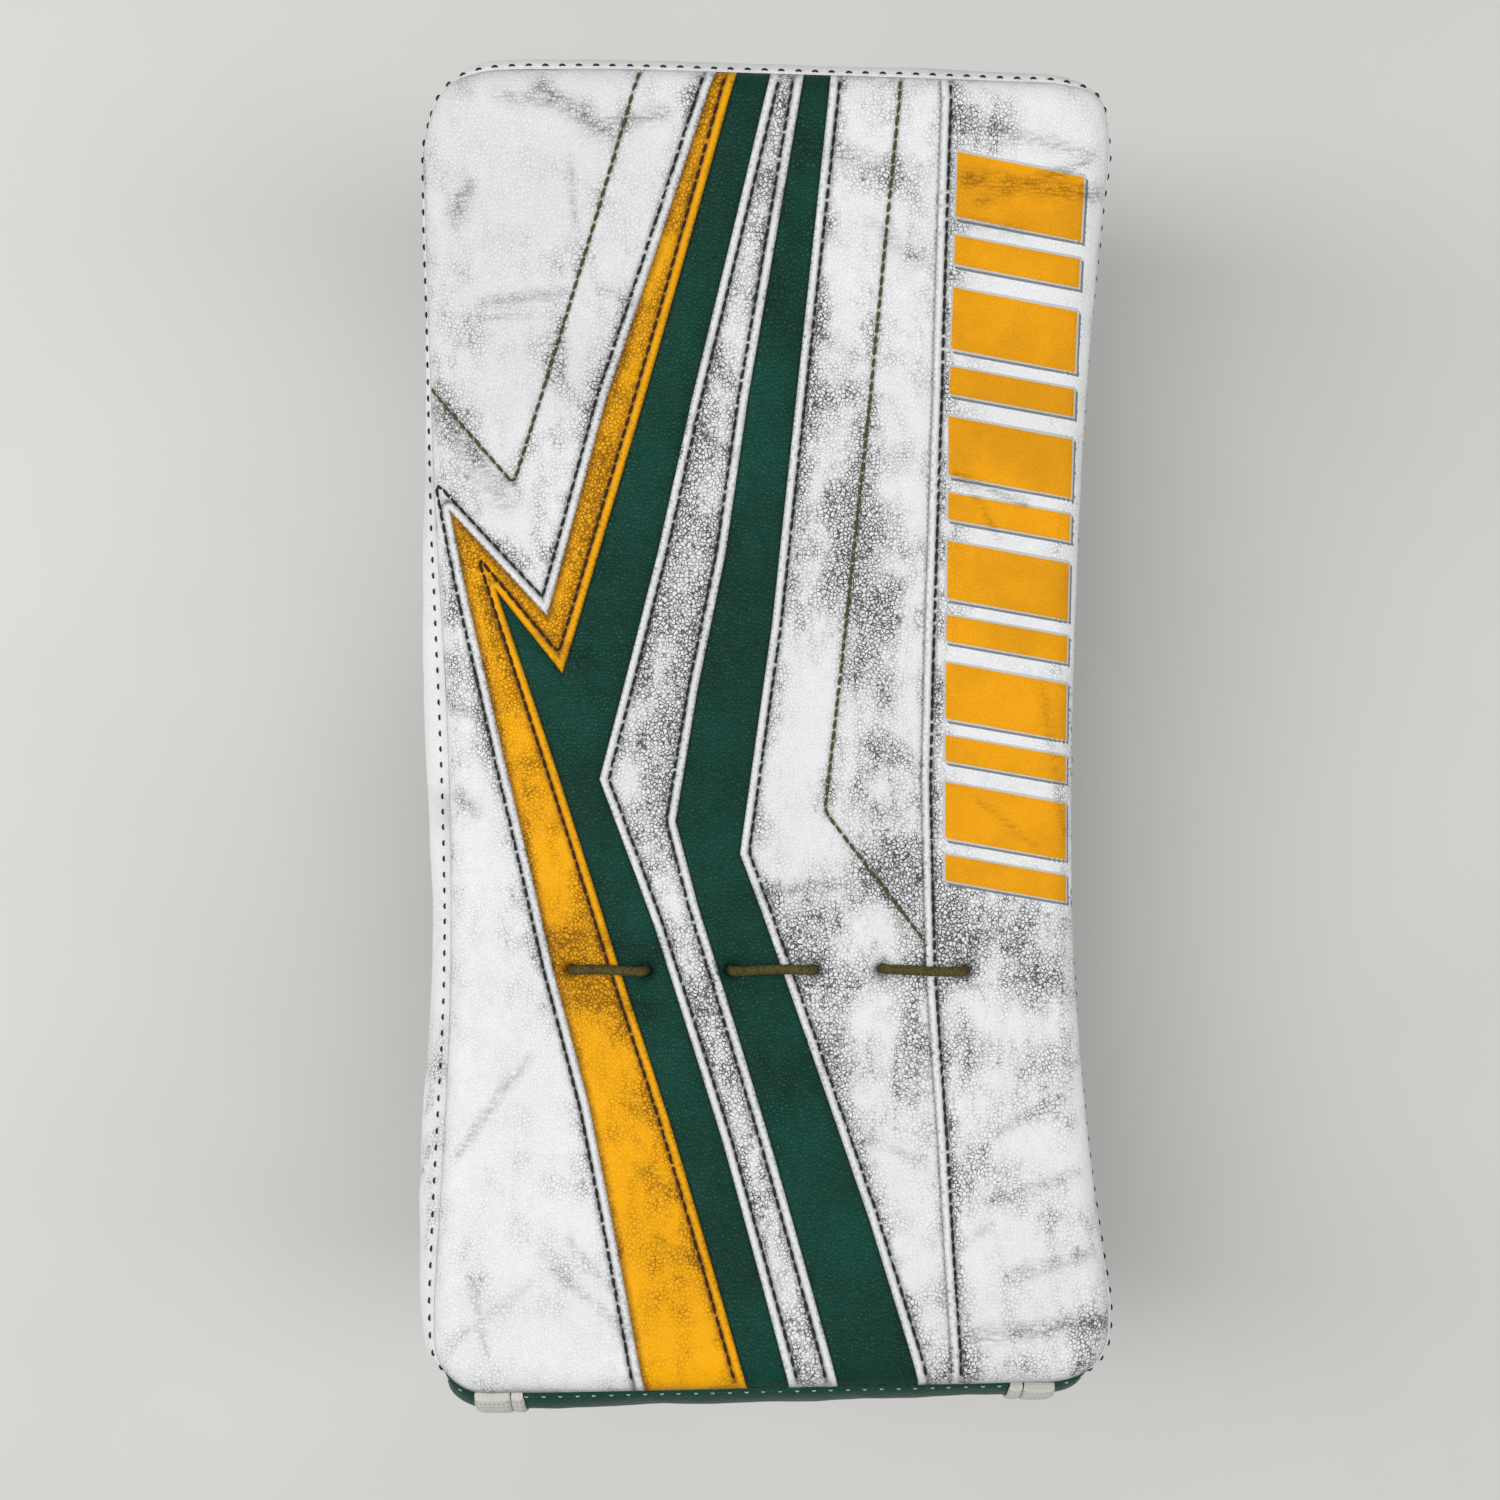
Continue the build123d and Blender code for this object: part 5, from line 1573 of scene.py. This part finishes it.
def section_loop(half, low, high, radius, top_radius, per):
    """A rounded rectangle across a finger: w across, v towards its back."""
    return round_corners(((half - top_radius, high - top_radius, 0, top_radius),
                          (-half + top_radius, high - top_radius, 90, top_radius),
                          (-half + radius, low + radius, 180, radius),
                          (half - radius, low + radius, 270, radius)), per)


def sleeve(name, origin, axes, length, half, ends, material, seed):
    """A finger's leather sleeve: an open tube with a mouth, closed at a fingertip."""
    along, dorsal, across = axes
    outer = section_loop(half - 0.1, -DIGIT_PALMAR + 0.1, DIGIT_CAVITY - 0.1, 7.5, 1.6, 6)
    inner = section_loop(half - 1.9, -DIGIT_PALMAR + 2.0, DIGIT_CAVITY - 0.5, 6.0, 1.2, 6)
    n = len(outer)
    steps = 26
    closed = ends[1] is None
    rings = []

    def ring(loop, share, squeeze=1.0, push=0.0, inset=0.0):
        made = []
        for w, v in loop:
            low = end_shift(v, ends[0])
            high = length - end_shift(v, ends[1])
            u = low + (high - 0.3 - low) * (share + push) - inset
            crease = 0.0
            for place_u, depth in ((0.30, 0.5), (0.55, 0.8), (0.62, 0.5)):
                crease += depth * math.exp(-((share - place_u) * length / 1.5) ** 2)
            shrink = 1 - (crease * (v < 2) + 0.25 * ripple(w + seed * 7, u, 5, seed)) / half
            made.append(origin + along * u + dorsal * (v * squeeze * (shrink if v < 0 else 1))
                        + across * (w * squeeze * shrink))
        rings.append(made)

    reach = 0.90 if closed else 1
    for k in range(steps + 1):
        ring(outer, reach * k / steps)
    if closed:
        for loop, order, inset in ((outer, range(1, 7), 0.0), (inner, range(6, 0, -1), 1.9)):
            for k in order:
                a = math.pi / 2 * k / 6
                ring(loop, reach, math.cos(a) * 0.55 + 0.45 if k < 6 else 0.30,
                     0.10 * math.sin(a), inset)
    for k in range(steps, -1, -1):
        ring(inner, reach * k / steps)
    verts = [p for r in rings for p in r]
    faces = ring_faces(len(rings), n, closed=True)
    if closed:
        bridge = steps + 7
        faces = [f for f in faces if not (f[0] // n == bridge - 1 and f[2] // n == bridge)]
        faces.append(tuple((bridge - 1) * n + k for k in range(n)))
        faces.append(tuple(bridge * n + k for k in reversed(range(n))))
    return new_mesh(name, verts, faces, material)


def digit_pad(name, origin, axes, length, half, ends, material, seed, mark):
    """The padded back of a segment, with a channel pressed across it."""
    along, dorsal, across = axes
    low, high = DIGIT_CAVITY + 0.2, DIGIT_CAVITY + DIGIT_PAD - 0.2
    middle = (low + high) / 2

    def where(u, v, w):
        height = middle + w
        share = u / length
        begin, finish = end_shift(height, ends[0]), length - end_shift(height, ends[1])
        return origin + along * (begin + (finish - begin) * share) + dorsal * height + across * v

    outline = rounded(0.2, length - 0.2, -half + 0.2, half - 0.2, 4.5)
    groove = [(length * mark, -half), (length * mark, half)]
    pad = pillow(name, outline, where, high - low - 1.6, material, spacing=2.0, rounding=4.2,
                 crown=0.8, channels=[(groove, 1.9, 1.5)], wrinkle=0.25, seed=seed)
    return pad, where


def lining(name, origin, first, second, half):
    """A stretch gusset shaped round the bend across a joint between two segments."""
    reach, steps, verts = GUSSET_REACH, 16, []
    for k in range(steps + 1):
        u = -reach + 2 * reach * k / steps
        share = (u + reach) / (2 * reach)
        blend = share * share * (3 - 2 * share)
        along = (first[0] * (1 - blend) + second[0] * blend).normalized()
        dorsal = (first[1] * (1 - blend) + second[1] * blend).normalized()
        across = along.cross(dorsal).normalized()
        axis = first[0] if u < 0 else second[0]
        centre = origin + axis * u
        fold = 1 - 0.05 * (0.5 + 0.5 * math.cos(u * 2.1))
        for w, v in section_loop((half - 2.8) * fold, -8.6 * fold, 8.9 * fold, 5.5, 5.5, 5):
            verts.append(centre + dorsal * v + across * w)
    piece = new_mesh(name, verts, ring_faces(steps + 1, len(verts) // (steps + 1)),
                     MAT["stretch"])
    shell = piece.modifiers.new("shell", "SOLIDIFY")
    shell.thickness, shell.offset = 0.8 * MM, -1
    apply_modifiers(piece)
    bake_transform(piece)


def make_digit(name, origin, turn, lengths, slopes, width, flex, ratio, knuckle, looks):
    """Both segments of a finger or thumb, with the gussets inside its joints."""
    bend = slopes[1] - slopes[0]
    middle = ((bend + ratio * flex[1]) / 2 + 1, (bend + ratio * flex[0]) / 2 - 1)
    half = width / 2
    base, tip = digit_axes(turn, slopes[0]), digit_axes(turn, slopes[1])
    joint = origin + base[0] * lengths[0]
    hand = digit_axes(turn, 0)
    parts = (("base", origin, base, lengths[0], (knuckle, middle), looks[0], 0.5),
             ("tip", joint, tip, lengths[1], (middle, None), looks[1], 0.42))
    for number, (part, start, axes, length, ends, look, mark) in enumerate(parts):
        body = f"{name}_{part}"
        seed = 60 + number + 3 * len(name) + int(abs(origin.x))
        tube_piece = sleeve(f"{body}_leather", start, axes, length, half, ends, MAT["palm"], seed)
        place(tube_piece, body, [f"{body}_sleeve"])
        pad, where = digit_pad(f"{body}_padding", start, axes, length, half, ends, MAT[look],
                               seed + 5, mark)
        inflate(pad, 2.0, 0.7)
        place(pad, body, [f"{body}_pad"])
        border = rounded(3.0, length - 3.0, -half + 3.2, half - 3.2, 3.0)
        sewn(f"{body}_stitches", pad, border + border[:1], lambda u, v: where(u, v, 3.0),
             axes[1], "thread_black", body, groove=0.6, pitch=3.4, length=2.9, radius=0.36,
             lift=0.1)
        across = [(length * mark, -half + 3.4), (length * mark, half - 3.4)]
        sewn(f"{body}_channel", pad, across, lambda u, v: where(u, v, 3.0), axes[1],
             "thread_black", body, groove=1.5, pitch=3.4, length=2.9, radius=0.36, lift=0.1)
        palmar = -axes[1]
        first = end_shift(-DIGIT_PALMAR, ends[0]) + SEAM_END
        last = length - (end_shift(-DIGIT_PALMAR, ends[1]) + SEAM_END if ends[1] else TIP_ROUND)
        for side in (-1, 1):
            seam = [(first, side * (half - 4.6)), (last, side * (half - 4.6))]
            sewn(f"{body}_seam_{'left' if side < 0 else 'right'}", tube_piece, seam,
                 lambda u, v: start + axes[0] * u + axes[2] * v - axes[1] * 7.0, palmar,
                 "thread_white", body, groove=0.35, pitch=3.2, length=2.5, radius=0.32, lift=0.0)
    lining(f"{name}_knuckle_gusset", origin, hand, base, half)
    lining(f"{name}_middle_gusset", joint, base, tip, half)
    return joint, tip


def make_fingers():
    """Four fingers side by side."""
    for name, spot, base_length, tip_length, slope in FINGERS:
        knuckle = ((slope + FINGER_FLEX[1]) / 2 + 1, (slope + FINGER_FLEX[0]) / 2 - 1)
        make_digit(name, Vector((spot * FINGER_PITCH, KNUCKLE_Y, KNUCKLE_Z)), 0,
                   (base_length, tip_length), (slope, 90.0), FINGER_WIDTH, FINGER_FLEX,
                   FINGER_RATIO, knuckle, ("white_side", "green_side"))


def make_thumb():
    """The thumb, with a leather-covered hard cap over its end."""
    length = THUMB_LENGTHS[1]
    joint, (along, dorsal, across) = make_digit(
        "thumb", Vector(THUMB_AT), THUMB_TURN, THUMB_LENGTHS, THUMB_SLOPES, THUMB_WIDTH,
        THUMB_FLEX, THUMB_RATIO, (0, 0), ("white_side", "white_side"))
    half, back = THUMB_WIDTH / 2 + 1.1, DIGIT_CAVITY + DIGIT_PAD + 1.4
    front, skirt = length + 1.6, 5.5

    def where(u, v, w):
        """v runs across and folds down at both sides, u along and folds down at the end."""
        side = max(0.0, abs(v) - (half - 3.0))
        nose = max(0.0, u - (front - 3.0))
        turn_v, turn_u = min(side / 3.0, math.pi / 2), min(nose / 3.0, math.pi / 2)
        drop = 3.0 * (1 - math.cos(turn_v)) + 3.0 * (1 - math.cos(turn_u))
        drop += max(0.0, side - 3.0 * math.pi / 2) + max(0.0, nose - 3.0 * math.pi / 2)
        x = min(u, front - 3.0) + 3.0 * math.sin(turn_u)
        y = math.copysign(min(abs(v), half - 3.0) + 3.0 * math.sin(turn_v), v)
        lean = Vector((math.sin(turn_u), math.copysign(math.sin(turn_v), v),
                       math.cos(turn_u) * math.cos(turn_v) + 0.05)).normalized()
        spot = Vector((x, y, back - drop)) + lean * w
        return joint + along * spot.x + across * spot.y + dorsal * spot.z

    reach = half - 3 + 3 * math.pi / 2 + skirt - 3
    long = front - 3 + 3 * math.pi / 2 + skirt - 3
    corner = 5.0
    outline = [(2.2, -reach), (front - 3.5, -reach), (front - 0.5, -reach + corner - 1.0),
               (long, -half + corner), (long, half - corner), (front - 0.5, reach - corner + 1.0),
               (front - 3.5, reach), (2.2, reach)]
    cap = pillow("thumb_cap_shell", outline, where, 1.7, MAT["cap"], spacing=1.7, rounding=0.8,
                 wrinkle=0.1, seed=91, channels=[([(9, -half - 4), (9, half + 4)], 0.6, 1.0)])
    place(cap, "thumb_tip", ["thumb_cap"])


make_cover()
make_cover_stitches()
make_blocks()
make_strips()
make_lace()
make_tabs()
make_back()
make_hand()
make_cuff()
make_strap()
make_guard()
make_fingers()
make_thumb()
make_stage()
